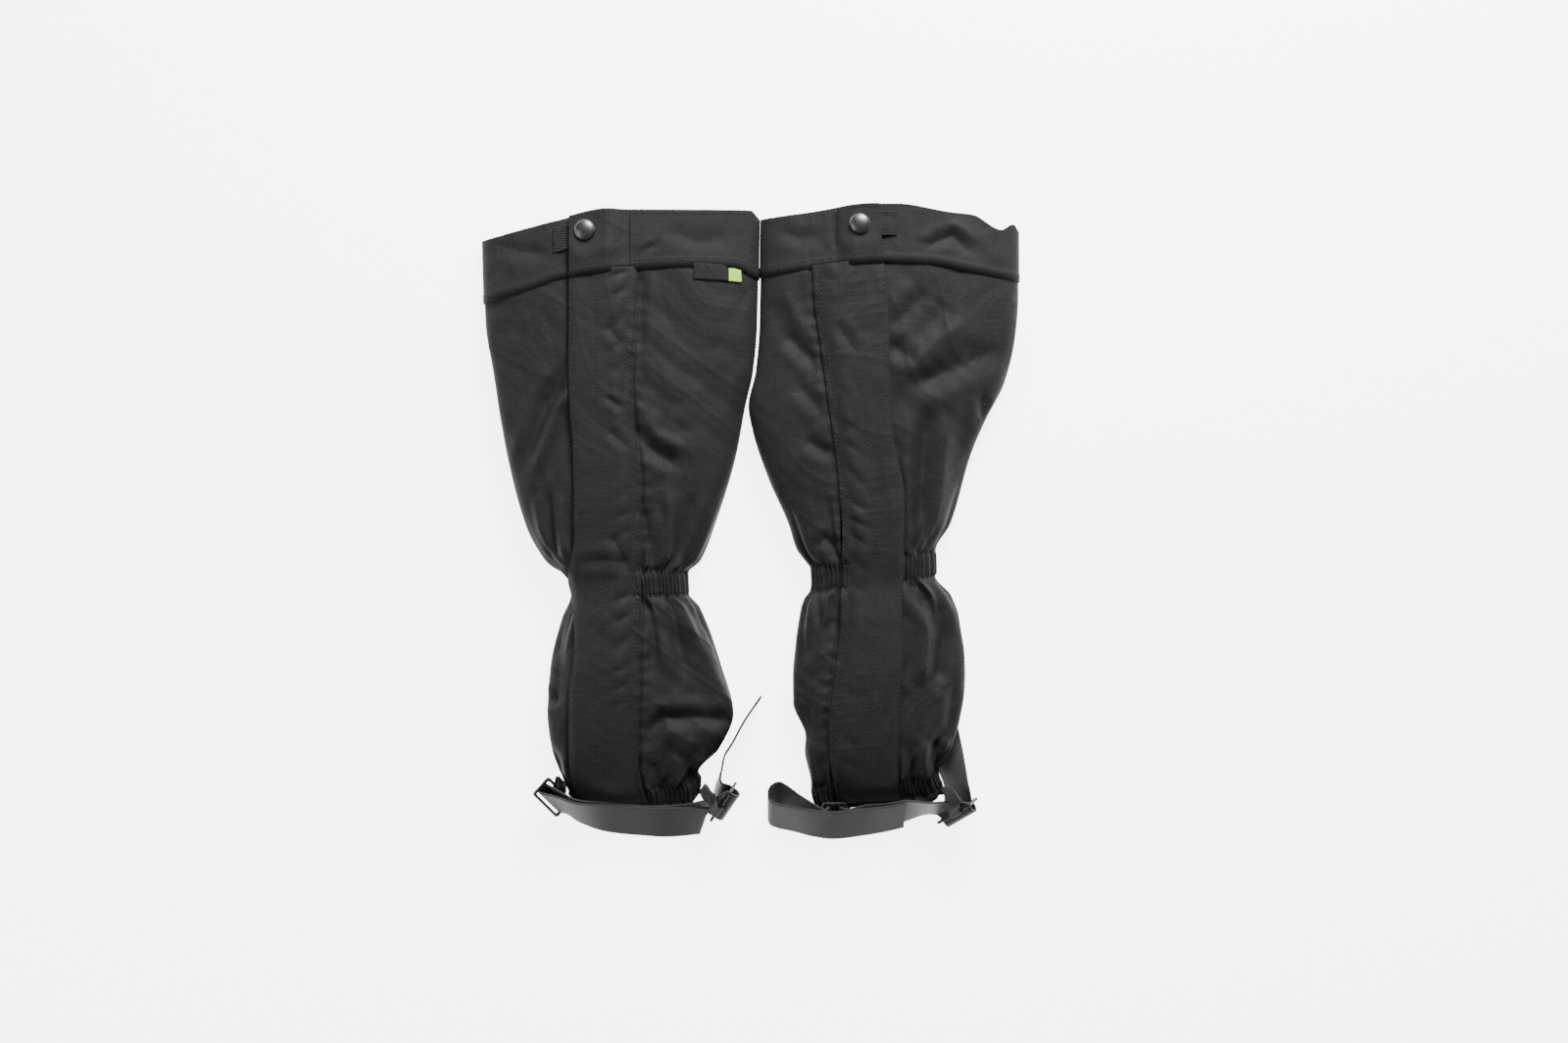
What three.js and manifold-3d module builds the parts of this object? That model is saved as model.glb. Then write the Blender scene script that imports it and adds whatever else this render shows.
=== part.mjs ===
// A pair of lower-leg gaiters laid flat, side by side: two ripstop tubes with an elastic ankle and hem,
// a front storm flap closed by hook-and-loop tape and a snap, and an instep strap held by two slide
// buckles. Millimetres, +Z up from the table, +X across the pair, +Y towards the knee. The origin is on
// the table under the middle of the pair.
import * as THREE from 'three';
import { mergeVertices } from 'three/addons/utils/BufferGeometryUtils.js';
import Module from 'manifold-3d';

const wasm = await Module();
wasm.setup();

// ---- driving dimensions ----
const WALL = 1.5;              // coated ripstop with its seam turnings
const GAP = 0.3;               // clearance between touching pieces
const FLAP_WALL = 1.3;         // doubled flap cloth
const TAPE_WALL = 0.8;         // hook tape and loop tape
const TAPE_LIFT = 0.75;        // underside of the loop tape above the wall
const FLAP_LIFT = 3.5;         // underside of the flap above the wall, over both tapes
const FLAP_END_LIFT = 0.7;     // the same at the hem, where no tape runs
const CUFF_END_LIFT = 5.8;     // underside of the cuff's overlapping end, over the snap
const ELASTIC_WALL = 0.8;
const ANKLE_BAND = 17;         // width of the ankle elastic
const HEM_BAND = 12;
const SIDE_HEIGHT = 0.42;      // height of the side creases, as a share of the loft
const DOME = 2.6;              // superellipse power of the upper half of a section
const FLOOR = 5;               // and of the flat lower half

const SNAP_CAP_R = 7.5;        // 15 mm cap of a line 24 snap
const SNAP_BASE_R = 5.6;
const SNAP_SHANK_R = 2.1;

const STRAP = 25;              // instep strap width
const STRAP_WALL = 1.4;
const WEB = 13;                // anchor webbing, folded narrow at the hem
const WEB_WALL = 0.8;

const BUCKLE_LONG = 31;        // along the bars
const BUCKLE_SHORT = 17;       // across the three bars
const BUCKLE_WALL = 2.0;
const BAR = 2.2;
const SLOT = (BUCKLE_SHORT - 3 * BAR) / 2;
const BAR_PITCH = BAR + SLOT;  // middle bar to outer bar
const SLOT_PLACE = (BAR + SLOT) / 2;

// ---- finishes ----
const fabric = new THREE.MeshStandardMaterial({ color: 0x35363a, roughness: 0.85 });
const elastic = new THREE.MeshStandardMaterial({ color: 0x1c1c1e, roughness: 0.9 });
const webbing = new THREE.MeshStandardMaterial({ color: 0x202022, roughness: 0.9 });
const tape = new THREE.MeshStandardMaterial({ color: 0x151517, roughness: 1.0 });
const strapping = new THREE.MeshStandardMaterial({ color: 0x3a3a3c, roughness: 0.55 });
const plastic = new THREE.MeshStandardMaterial({ color: 0x1a1a1c, roughness: 0.25 });
const metal = new THREE.MeshStandardMaterial({ color: 0x77787a, roughness: 0.3, metalness: 0.9 });
const wire = new THREE.MeshStandardMaterial({ color: 0x2a2a2c, roughness: 0.3, metalness: 0.8 });
const lime = new THREE.MeshStandardMaterial({ color: 0x8fc63f, roughness: 0.8 });

const pair = new THREE.Group();

function add(name, geometry, material, frame) {
  const mesh = new THREE.Mesh(geometry, material);
  mesh.name = name;
  if (frame) mesh.applyMatrix4(frame);
  pair.add(mesh);
  return mesh;
}

// ---- curves ----
const mix = (a, b, t) => a + (b - a) * t;

// A smooth curve through [place, value] keys that never swings past them.
function throughKeys(keys) {
  const count = keys.length;
  const slopes = [];
  for (let i = 0; i < count - 1; i++) {
    slopes.push((keys[i + 1][1] - keys[i][1]) / (keys[i + 1][0] - keys[i][0]));
  }
  const tangents = keys.map((key, i) => {
    if (i === 0) return slopes[0];
    if (i === count - 1) return slopes[count - 2];
    const before = slopes[i - 1];
    const after = slopes[i];
    return before * after <= 0 ? 0 : (2 * before * after) / (before + after);
  });
  return (place) => {
    if (place <= keys[0][0]) return keys[0][1];
    if (place >= keys[count - 1][0]) return keys[count - 1][1];
    let i = 0;
    while (place > keys[i + 1][0]) i++;
    const step = keys[i + 1][0] - keys[i][0];
    const t = (place - keys[i][0]) / step;
    const t2 = t * t;
    const t3 = t2 * t;
    return (2 * t3 - 3 * t2 + 1) * keys[i][1] + (t3 - 2 * t2 + t) * step * tangents[i]
      + (3 * t2 - 2 * t3) * keys[i + 1][1] + (t3 - t2) * step * tangents[i + 1];
  };
}

const smooth = (t) => {
  const c = Math.min(Math.max(t, 0), 1);
  return c * c * (3 - 2 * c);
};

// ---- the two gaiters ----
// left and right: the side creases, x at each y. Levels: the y of the hem, the middle of the ankle
// elastic, the cuff seam and the top edge, at shares of the width from the left crease to the right.
// fold: the straight line that the flap opens along. free: the flap's free edge, x at each y.
const loft = throughKeys([[-201, 14], [-195, 16], [-187, 19.5], [-178, 24], [-165, 28.5], [-145, 32],
  [-110, 34], [-70, 32.5], [-44, 30.5], [-20, 32.5], [20, 34], [100, 34.5], [160, 33.5], [222, 29]]);
const underside = throughKeys([[-201, 3.4], [-138, 3.4], [-116, 0], [222, 0]]);

const gaiters = {
  left: {
    left: throughKeys([[-191, -129.5], [-184, -132.5], [-161, -141], [-136, -144], [-103, -142],
      [-69, -133.7], [-53, -127.4], [-42, -128.8], [-27, -145.6], [-2, -159.6], [48, -172.9],
      [107, -182.7], [140, -188], [198, -190.2]]),
    right: throughKeys([[-190, -35.5], [-182, -35], [-177, -37], [-161, -22.4], [-136, -11.9],
      [-103, -20.3], [-61, -36.4], [-52, -43.4], [-36, -44], [-27, -35.7], [-2, -25.2], [48, -9.8],
      [82, -3.5], [107, 2], [140, 4.9], [214, 6.2]]),
    hem: throughKeys([[0, -191], [0.1, -196], [0.3, -199], [0.6, -201], [0.9, -200], [1, -190]]),
    ankle: throughKeys([[0, -44], [1, -43.5]]),
    seam: throughKeys([[0, 159.6], [0.15, 168], [0.3, 177.5], [0.55, 183.4], [0.75, 185.5],
      [0.91, 184.8], [1, 177]]),
    top: throughKeys([[0, 198.8], [0.26, 212], [0.46, 220.5], [0.97, 220.5], [1, 214.2]]),
    fold: [[-81.2, -201], [-86.1, 220]],
    free: throughKeys([[-201, -122.8], [-169, -127], [-126, -127], [-88, -123.2], [-55, -124.3],
      [-36, -127.2], [-10, -123.6], [53, -124.6], [93, -127.5], [222, -127.5]]),
    opens: 1,
    snap: [-116.2, 205],
    tab: [-138.6, 203.5],
  },
  right: {
    left: throughKeys([[-201, 45.5], [-178, 41.3], [-162, 38.5], [-153, 39.2], [-128, 30.3],
      [-111, 30.1], [-86, 32.2], [-61, 36.4], [-44, 43.4], [-34, 42.7], [-19, 32.9], [-2, 27.3],
      [31, 12.6], [65, 1.4], [82, -1.4], [107, 3.8], [140, 6.5], [214, 7.7]]),
    right: throughKeys([[-187, 137], [-178, 133.7], [-171, 135.8], [-145, 147.7], [-111, 152.6],
      [-69, 148.4], [-52, 142.8], [-38, 131.5], [-20, 132], [-2, 142.1], [48, 156.8], [74, 168],
      [99, 180.6], [132, 188.3], [160, 190.4], [205, 190.4]]),
    hem: throughKeys([[0, -201], [0.2, -199], [0.35, -196.5], [0.65, -195.5], [0.88, -194.5], [1, -187]]),
    ankle: throughKeys([[0, -41], [0.5, -36], [1, -29.5]]),
    seam: throughKeys([[0, 178.5], [0.22, 184], [0.48, 188.3], [0.66, 187], [0.8, 182], [1, 175]]),
    top: throughKeys([[0, 214.2], [0.2, 219], [0.43, 224.7], [0.53, 224.7], [0.72, 219], [0.82, 217],
      [0.93, 206.5], [0.98, 210.7], [1, 205.1]]),
    fold: [[67.2, -201], [60.9, 220]],
    free: throughKeys([[-197, 106.4], [-180, 104.8], [-146, 104.3], [-97, 107], [-58, 106.6],
      [-34, 107.8], [17, 108.5], [61, 100.4], [93, 98], [155, 97.3], [181, 94.5], [222, 91.4]]),
    opens: -1,
    snap: [77.7, 209.5],
    tab: [103.6, 211.5],
  },
};

// y at share s of the width and level v: 0 hem, 1 ankle, 2 cuff seam, 3 top edge.
function levelY(gaiter, s, v) {
  if (v <= 1) return mix(gaiter.hem(s), gaiter.ankle(s), v);
  if (v <= 2) return mix(gaiter.ankle(s), gaiter.seam(s), v - 1);
  return mix(gaiter.seam(s), gaiter.top(s), v - 2);
}

function creases(gaiter, v) {
  const low = gaiter.left(levelY(gaiter, 0, v));
  const high = gaiter.right(levelY(gaiter, 1, v));
  return [low, high];
}

// A point of the section at angle a: 0 the left crease, PI / 2 the top, PI the right crease, 3 PI / 2
// the underside. lift moves it out of the wall, split opens the side creases. upper: which half.
function sectionPoint(gaiter, a, v, lift, split, upper) {
  const power = 2 / (upper ? DOME : FLOOR);
  const c = -Math.cos(a);
  const across = Math.sign(c) * Math.abs(c) ** power;
  const rise = Math.min(1, Math.abs(Math.sin(a)) ** power * (upper ? 1 : 1.03));
  const [low, high] = creases(gaiter, v);
  const s = (across + 1) / 2;
  const y = levelY(gaiter, s, v);
  const bottom = underside(y);
  const height = loft(y);
  const side = mix(bottom, height, SIDE_HEIGHT);
  const x = (low + high) / 2 + across * ((high - low) / 2 + lift);
  const z = upper ? side + split + (height - side - split + lift) * rise
    : side - split - (side - split - bottom + Math.min(lift, 0)) * rise;
  return new THREE.Vector3(x, y, z);
}

// Every sheet of the tube follows the same flat facets, so that neighbours stay parallel.
const TURN = 16;
const FACET = 2 * Math.PI / TURN;
const levelStep = (v) => (v < 2 ? 1 / 10 : 1 / 3);

function levelBelow(v) {
  const step = levelStep(v);
  const low = v < 2 ? Math.floor(v / step + 1e-6) * step : 2 + Math.floor((v - 2) / step + 1e-6) * step;
  return [low, (v - low) / step];
}

function tubePoint(gaiter, a, v, lift, split = 0) {
  const turn = Math.floor(a / FACET + 1e-6);
  const along = a / FACET - turn;
  const [v0, up] = levelBelow(v);
  const v1 = v0 + levelStep(v);
  const upper = turn % TURN < TURN / 2;
  const corner = (angle, level) => sectionPoint(gaiter, angle, level, lift, split, upper);
  const low = corner(turn * FACET, v0).lerp(corner((turn + 1) * FACET, v0), along);
  if (up < 1e-6) return low;
  const high = corner(turn * FACET, v1).lerp(corner((turn + 1) * FACET, v1), along);
  return low.lerp(high, up);
}

// The section angle at which the upper half of the tube stands over x, at level v.
function angleOver(gaiter, x, v) {
  let turn = 0;
  let here = tubePoint(gaiter, 0, v, 0).x;
  let next = tubePoint(gaiter, FACET, v, 0).x;
  while (next < x && (turn + 2) * FACET < Math.PI + 1e-6) {
    turn++;
    here = next;
    next = tubePoint(gaiter, (turn + 1) * FACET, v, 0).x;
  }
  return (turn + (x - here) / (next - here)) * FACET;
}

function lineX(line, y) {
  const t = (y - line[0][1]) / (line[1][1] - line[0][1]);
  return mix(line[0][0], line[1][0], t);
}

// y of the upper half where it crosses a curve x(y) at level v.
function crossingX(gaiter, xAt, v) {
  const [low, high] = creases(gaiter, v);
  let y = levelY(gaiter, 0.5, v);
  for (let pass = 0; pass < 4; pass++) {
    y = levelY(gaiter, (xAt(y) - low) / (high - low), v);
  }
  return xAt(y);
}

// ---- solids ----
// A curved sheet of one thickness: place(u, v, w) says where each point of a unit box goes, with u
// across, v along and w from the inner face to the outer one.
function sheet(place, across, along) {
  const geometry = new THREE.BoxGeometry(1, 1, 1, across, along, 1);
  const position = geometry.attributes.position;
  for (let i = 0; i < position.count; i++) {
    const p = place(position.getX(i) + 0.5, position.getY(i) + 0.5, position.getZ(i) + 0.5);
    position.setXYZ(i, p.x, p.y, p.z);
  }
  geometry.computeVertexNormals();
  return geometry;
}

// From one place to another, with every facet line between them.
function stepsBetween(from, to, step, start = 0) {
  const steps = [from];
  const last = (to - start) / step - 0.2;
  for (let k = Math.ceil((from - start) / step + 0.2); k < last; k++) steps.push(start + k * step);
  steps.push(to);
  return steps;
}

const levelsBetween = (v0, v1) => stepsBetween(v0, v1, levelStep(v0), Math.floor(v0 / 2) * 2);
const at = (steps, t) => steps[Math.round(t * (steps.length - 1))];

// A band of the tube between two section angles (functions of v) and two levels.
function tubeSheet(gaiter, from, to, [v0, v1], [inner, outer], split = 0) {
  const levels = levelsBetween(v0, v1);
  const first = Math.max(...levels.map(from));
  const last = Math.min(...levels.map(to));
  const facets = stepsBetween(first, last, FACET);
  return sheet((u, t, w) => {
    const v = at(levels, t);
    const angle = u === 0 ? from(v) : u === 1 ? to(v) : at(facets, u);
    return tubePoint(gaiter, angle, v, mix(inner, outer, w), split);
  }, facets.length - 1, levels.length - 1);
}

// A flat strap along stations of [centre, direction across it], all in millimetres.
function ribbon(stations, width, thickness, across, perSpan, endCut = 0) {
  const centres = stations.map(([centre]) => new THREE.Vector3(...centre));
  const edges = stations.map(([, across]) => new THREE.Vector3(...across).normalize());
  const centreLine = new THREE.CatmullRomCurve3(centres, false, 'catmullrom', 0.5);
  const acrossLine = new THREE.CatmullRomCurve3(edges, false, 'catmullrom', 0.5);
  return sheet((u, t, w) => {
    const point = centreLine.getPoint(t);
    const tangent = centreLine.getTangent(t);
    const across = acrossLine.getPoint(t).normalize();
    const face = new THREE.Vector3().crossVectors(across, tangent).normalize();
    const cut = endCut * (u - 0.5) * Math.max(0, 1 - t * (stations.length - 1));
    return point.addScaledVector(across, (u - 0.5) * width)
      .addScaledVector(face, (w - 0.5) * thickness)
      .addScaledVector(tangent, cut);
  }, across, (stations.length - 1) * perSpan);
}

function toManifold(geometry) {
  const bare = geometry.clone();
  bare.deleteAttribute('normal');
  bare.deleteAttribute('uv');
  const merged = mergeVertices(bare, 1e-4);
  return new wasm.Manifold(new wasm.Mesh({
    numProp: 3,
    vertProperties: new Float32Array(merged.attributes.position.array),
    triVerts: new Uint32Array(merged.index.array),
  }));
}

function fromManifold(solid) {
  const mesh = solid.getMesh();
  const geometry = new THREE.BufferGeometry();
  geometry.setAttribute('position', new THREE.BufferAttribute(mesh.vertProperties, 3));
  geometry.setIndex(new THREE.BufferAttribute(mesh.triVerts, 1));
  geometry.computeVertexNormals();
  return geometry;
}

const cut = (body, tool) => fromManifold(toManifold(body).subtract(toManifold(tool)));

// A turned piece from [radius, height] points, its axis on the frame's Z.
function turned(points, segments = 16) {
  const outline = points.map(([radius, height]) => new THREE.Vector2(radius, height));
  return new THREE.LatheGeometry(outline, segments).rotateX(Math.PI / 2);
}

// The frame that stands on the tube's upper face over x, y: Z out of the cloth, X along the width.
function faceFrame(gaiter, [x, y], v) {
  const a = angleOver(gaiter, x, v);
  const step = 0.02;
  const here = tubePoint(gaiter, a, v, 0);
  const beside = tubePoint(gaiter, a + step, v, 0).sub(here).normalize();
  const above = tubePoint(gaiter, a, v + step, 0).sub(here).normalize();
  const out = new THREE.Vector3().crossVectors(beside, above).normalize();
  const up = new THREE.Vector3().crossVectors(out, beside);
  here.y = y;
  return new THREE.Matrix4().makeBasis(beside, up, out).setPosition(here);
}

// ---- the cloth body of one gaiter ----
function clothBody(side, gaiter) {
  const foldX = (v) => crossingX(gaiter, (y) => lineX(gaiter.fold, y), v);
  const fold = (v, off) => angleOver(gaiter, foldX(v) + off * gaiter.opens, v);
  const onLeft = gaiter.opens > 0;
  const PANEL = [0.001, 1.998];
  const wall = [-WALL, 0];
  const beside = 1e-4;
  const leftCrease = () => 0;
  const rightCrease = () => Math.PI - beside;
  const rearFrom = () => Math.PI + beside;
  const rearTo = () => 2 * Math.PI - beside;

  add(`${side}_rear_panel`, tubeSheet(gaiter, rearFrom, rearTo, PANEL, wall, GAP / 2), fabric);
  // The panel that carries the flap reaches the fold, the underlap stops short of it.
  const past = (v) => fold(v, 0.6);
  const short = (v) => fold(v, -1.2);
  const frontPanel = onLeft ? [past, rightCrease] : [leftCrease, past];
  const underlap = onLeft ? [leftCrease, short] : [short, rightCrease];
  add(`${side}_front_panel`, tubeSheet(gaiter, ...frontPanel, PANEL, wall, GAP / 2), fabric);
  add(`${side}_underlap_panel`, tubeSheet(gaiter, ...underlap, PANEL, wall, GAP / 2), fabric);

  // The cuff runs from the fold round the back to the underlap's end, one strip of doubled cloth.
  const CUFF = [2.01, 3];
  const turn = 2 * Math.PI;
  const cuffFrom = onLeft ? past : short;
  const cuffTo = onLeft ? (v) => short(v) + turn : (v) => past(v) + turn;
  add(`${side}_cuff_band`, tubeSheet(gaiter, cuffFrom, cuffTo, CUFF, [-WALL, 0.5]), fabric);

  // Elastics sewn in their casings, inside the wall.
  const inside = [-WALL - 0.7 - ELASTIC_WALL, -WALL - 0.7];
  const elasticFrom = onLeft ? (v) => fold(v, 8) : (v) => fold(v, -14);
  const elasticTo = onLeft ? (v) => fold(v, -14) + turn : (v) => fold(v, 8) + turn;
  const ankleHalf = ANKLE_BAND / 2;
  const hemToAnkle = 155;
  const ankleToSeam = 224;
  const ankleLevels = [1 - ankleHalf / hemToAnkle, 1 + ankleHalf / ankleToSeam];
  add(`${side}_ankle_elastic`, tubeSheet(gaiter, elasticFrom, elasticTo, ankleLevels, inside), elastic);
  const hemLevels = [0.006, HEM_BAND / hemToAnkle];
  add(`${side}_hem_elastic`, tubeSheet(gaiter, elasticFrom, elasticTo, hemLevels, inside), elastic);
}

// ---- the flap, its tapes and the cuff's overlapping end ----
// across: 0 at the fold, 1 at the free edge.
function flapPoint(gaiter, across, v, lift) {
  const foldX = crossingX(gaiter, (y) => lineX(gaiter.fold, y), v) - 1.0 * gaiter.opens;
  const freeX = crossingX(gaiter, gaiter.free, v);
  return tubePoint(gaiter, angleOver(gaiter, mix(foldX, freeX, across), v), v, lift);
}

function flapSheet(gaiter, [a0, a1], [v0, v1], liftAt, thickness, across) {
  const flip = gaiter.opens > 0;
  const levels = levelsBetween(v0, v1);
  return sheet((u, t, w) => {
    const place = mix(a0, a1, flip ? 1 - u : u);
    const v = at(levels, t);
    return flapPoint(gaiter, place, v, liftAt(place, v) + w * thickness);
  }, across, levels.length - 1);
}

function flap(side, gaiter) {
  const rise = (across) => smooth(across / 0.3);
  const flapLift = (across, v) => mix(0.4, mix(FLAP_END_LIFT, FLAP_LIFT, smooth(v / 0.12)), rise(across));
  add(`${side}_storm_flap`, flapSheet(gaiter, [0, 1], [0.01, 1.998], flapLift, FLAP_WALL, 5), fabric);

  const tapeSpan = [0.36, 0.78];
  const tapeLevels = [0.13, 1.97];
  add(`${side}_loop_tape`,
    flapSheet(gaiter, tapeSpan, tapeLevels, () => TAPE_LIFT, TAPE_WALL, 4), tape);
  add(`${side}_hook_tape`,
    flapSheet(gaiter, tapeSpan, tapeLevels, () => TAPE_LIFT + TAPE_WALL + 0.45, TAPE_WALL, 4), tape);

  const cuffLift = (across) => mix(0.8, CUFF_END_LIFT, rise(across * 0.75));
  const cuffEnd = flapSheet(gaiter, [0, 1], [2.01, 3], cuffLift, FLAP_WALL, 7);
  const snapLevel = 2.62;
  const seat = faceFrame(gaiter, gaiter.snap, snapLevel);
  const hole = new THREE.CylinderGeometry(SNAP_SHANK_R + GAP, SNAP_SHANK_R + GAP, 30, 16).rotateX(Math.PI / 2);
  hole.applyMatrix4(seat);
  add(`${side}_cuff_flap_end`, cut(cuffEnd, hole), fabric);
  snapAndTab(side, gaiter, seat, hole, snapLevel);
}

// ---- the snap and the elastic tab that carries its stud ----
function snapAndTab(side, gaiter, seat, hole, level) {
  const TAB_WALL = 1.0;
  const TAB_HEIGHT = 18;
  const postTop = 0.75 + 0.45;
  const tabBottom = postTop + 0.45;
  const tabTop = tabBottom + TAB_WALL;
  const studBase = tabTop + 0.15;
  const socketBottom = studBase + 0.6 + 0.2;
  const socketTop = CUFF_END_LIFT - 0.75;
  const clothTop = CUFF_END_LIFT + FLAP_WALL;
  const bore = SNAP_SHANK_R + GAP + 0.7;

  add(`${side}_snap_cap`, turned([[0, clothTop + 2.9], [SNAP_CAP_R * 0.45, clothTop + 2.7],
    [SNAP_CAP_R * 0.8, clothTop + 2.0], [SNAP_CAP_R * 0.97, clothTop + 1.1], [SNAP_CAP_R, clothTop + 0.6],
    [SNAP_CAP_R * 0.95, clothTop + 0.25], [SNAP_SHANK_R, clothTop + 0.25],
    [SNAP_SHANK_R, socketTop + 0.1], [0, socketTop + 0.1]].reverse()), metal, seat);
  add(`${side}_snap_socket`, turned([[bore, socketBottom], [SNAP_BASE_R - 0.4, socketBottom],
    [SNAP_BASE_R, socketBottom + 0.4], [SNAP_BASE_R, socketTop], [bore, socketTop],
    [bore, socketBottom]]), metal, seat);
  add(`${side}_snap_stud`, turned([[0, studBase], [SNAP_BASE_R, studBase], [SNAP_BASE_R, studBase + 0.5],
    [SNAP_SHANK_R + 0.2, studBase + 0.6], [SNAP_SHANK_R + 0.2, studBase + 1.0],
    [SNAP_SHANK_R + 0.5, studBase + 1.5], [SNAP_SHANK_R, studBase + 2.0], [0, studBase + 2.0]]), metal, seat);
  add(`${side}_snap_post`, turned([[0, 0.75], [SNAP_BASE_R, 0.75], [SNAP_BASE_R, postTop],
    [SNAP_SHANK_R, postTop], [SNAP_SHANK_R, tabTop], [0, tabTop]]), metal, seat);

  const inner = gaiter.snap[0] + 9 * gaiter.opens;
  const outer = gaiter.tab[0];
  const [tabLow, tabHigh] = [Math.min(inner, outer), Math.max(inner, outer)];
  const v0 = level - TAB_HEIGHT / 2 / 38;
  const v1 = level + TAB_HEIGHT / 2 / 38;
  const tabLift = (x) => mix(GAP + 0.5, tabBottom, smooth(Math.abs(x - outer) / 12));
  const tab = sheet((u, t, w) => {
    const v = mix(v0, v1, t);
    const x = mix(tabLow, tabHigh, u);
    return tubePoint(gaiter, angleOver(gaiter, x, v), v, tabLift(x) + w * TAB_WALL);
  }, 8, 2);
  add(`${side}_elastic_tab`, cut(tab, hole), elastic);
}

// ---- slide buckle ----
function roundedRectangle(target, halfLong, halfShort, radius, centre = 0) {
  target.moveTo(-halfLong + radius, centre - halfShort);
  target.lineTo(halfLong - radius, centre - halfShort);
  target.absarc(halfLong - radius, centre - halfShort + radius, radius, -Math.PI / 2, 0);
  target.lineTo(halfLong, centre + halfShort - radius);
  target.absarc(halfLong - radius, centre + halfShort - radius, radius, 0, Math.PI / 2);
  target.lineTo(-halfLong + radius, centre + halfShort);
  target.absarc(-halfLong + radius, centre + halfShort - radius, radius, Math.PI / 2, Math.PI);
  target.lineTo(-halfLong, centre - halfShort + radius);
  target.absarc(-halfLong + radius, centre - halfShort + radius, radius, Math.PI, Math.PI * 1.5);
  return target;
}

// Three bars and two slots, X along the bars and Y across them.
function slideBuckle() {
  const BEVEL = 0.45;
  const plate = roundedRectangle(new THREE.Shape(), BUCKLE_LONG / 2 - BEVEL, BUCKLE_SHORT / 2 - BEVEL, 2.6);
  for (const place of [-SLOT_PLACE, SLOT_PLACE]) {
    const slot = new THREE.Path();
    plate.holes.push(roundedRectangle(slot, STRAP / 2 + 0.9 + BEVEL, SLOT / 2 + BEVEL, 1.2, place));
  }
  const geometry = new THREE.ExtrudeGeometry(plate, {
    depth: BUCKLE_WALL - 2 * BEVEL, bevelThickness: BEVEL, bevelSize: BEVEL, bevelSegments: 1, curveSegments: 2,
  });
  return geometry.translate(0, 0, BEVEL - BUCKLE_WALL / 2);
}

// A buckle's place: its centre, the direction of its bars and the direction from its middle bar to
// the bar that holds the webbing.
function buckleFrame(centre, bars, towardsWeb) {
  const along = new THREE.Vector3(...bars).normalize();
  const held = new THREE.Vector3(...towardsWeb);
  held.addScaledVector(along, -held.dot(along)).normalize();
  const face = new THREE.Vector3().crossVectors(along, held);
  return { centre: new THREE.Vector3(...centre), along, held, face };
}

function onBuckle(frame, held, face, along = 0) {
  const p = frame.centre.clone().addScaledVector(frame.held, held)
    .addScaledVector(frame.face, face).addScaledVector(frame.along, along);
  return p.toArray();
}

function placeBuckle(name, frame) {
  const matrix = new THREE.Matrix4().makeBasis(frame.along, frame.held, frame.face).setPosition(frame.centre);
  add(name, slideBuckle(), plastic, matrix);
}

// Webbing folded round the outer bar, its two ends lying together where they are sewn to the hem.
// over: the points that the webbing passes on its way, slide: its place along the bar.
function anchorWeb(name, frame, hem, { over = [], slide = 0, width = WEB } = {}) {
  const bar = new THREE.Vector3(...onBuckle(frame, BAR_PITCH, 0, slide));
  const pull = new THREE.Vector3(...(over.at(-1) || hem)).sub(bar);
  pull.addScaledVector(frame.along, -pull.dot(frame.along)).normalize();
  const off = new THREE.Vector3().crossVectors(frame.along, pull);
  const reach = 2.1;
  const bars = frame.along.toArray();
  const around = (angle) => bar.clone().addScaledVector(off, reach * Math.cos(angle))
    .addScaledVector(pull, -reach * Math.sin(angle)).toArray();
  const throat = bar.clone().addScaledVector(pull, 3.6);
  const path = [...[hem, ...over].map((point) => new THREE.Vector3(...point)), throat];
  const way = (sign) => path.map((point, i) => {
    const heading = (path[i + 1] || bar).clone().sub(path[Math.max(i - 1, 0)]);
    const side = new THREE.Vector3().crossVectors(heading, frame.along).normalize();
    const distance = point === throat ? 1.6 : 0.85;
    return [point.clone().addScaledVector(side, sign * distance).toArray(), bars];
  });
  const loop = [];
  for (let step = 0; step <= 4; step++) loop.push([around(step * Math.PI / 4), bars]);
  add(name, ribbon([...way(1), ...loop, ...way(-1).reverse()], width, WEB_WALL, 1, 2), webbing);
}

// The strap's turn round the middle bar: in through one slot and out through the other. reach is how
// far the bend stands off the buckle's face.
function turnRound(frame, firstSlot, reach) {
  const across = frame.along.toArray();
  const slot = SLOT_PLACE * firstSlot;
  const lead = -1.5 * Math.sign(reach);
  const bend = [[1, lead], [0.97, reach * 0.35], [0.7, reach * 0.8], [0, reach],
    [-0.7, reach * 0.8], [-0.97, reach * 0.35], [-1, lead]];
  return bend.map(([held, face]) => [onBuckle(frame, slot * held, face), across]);
}

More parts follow.
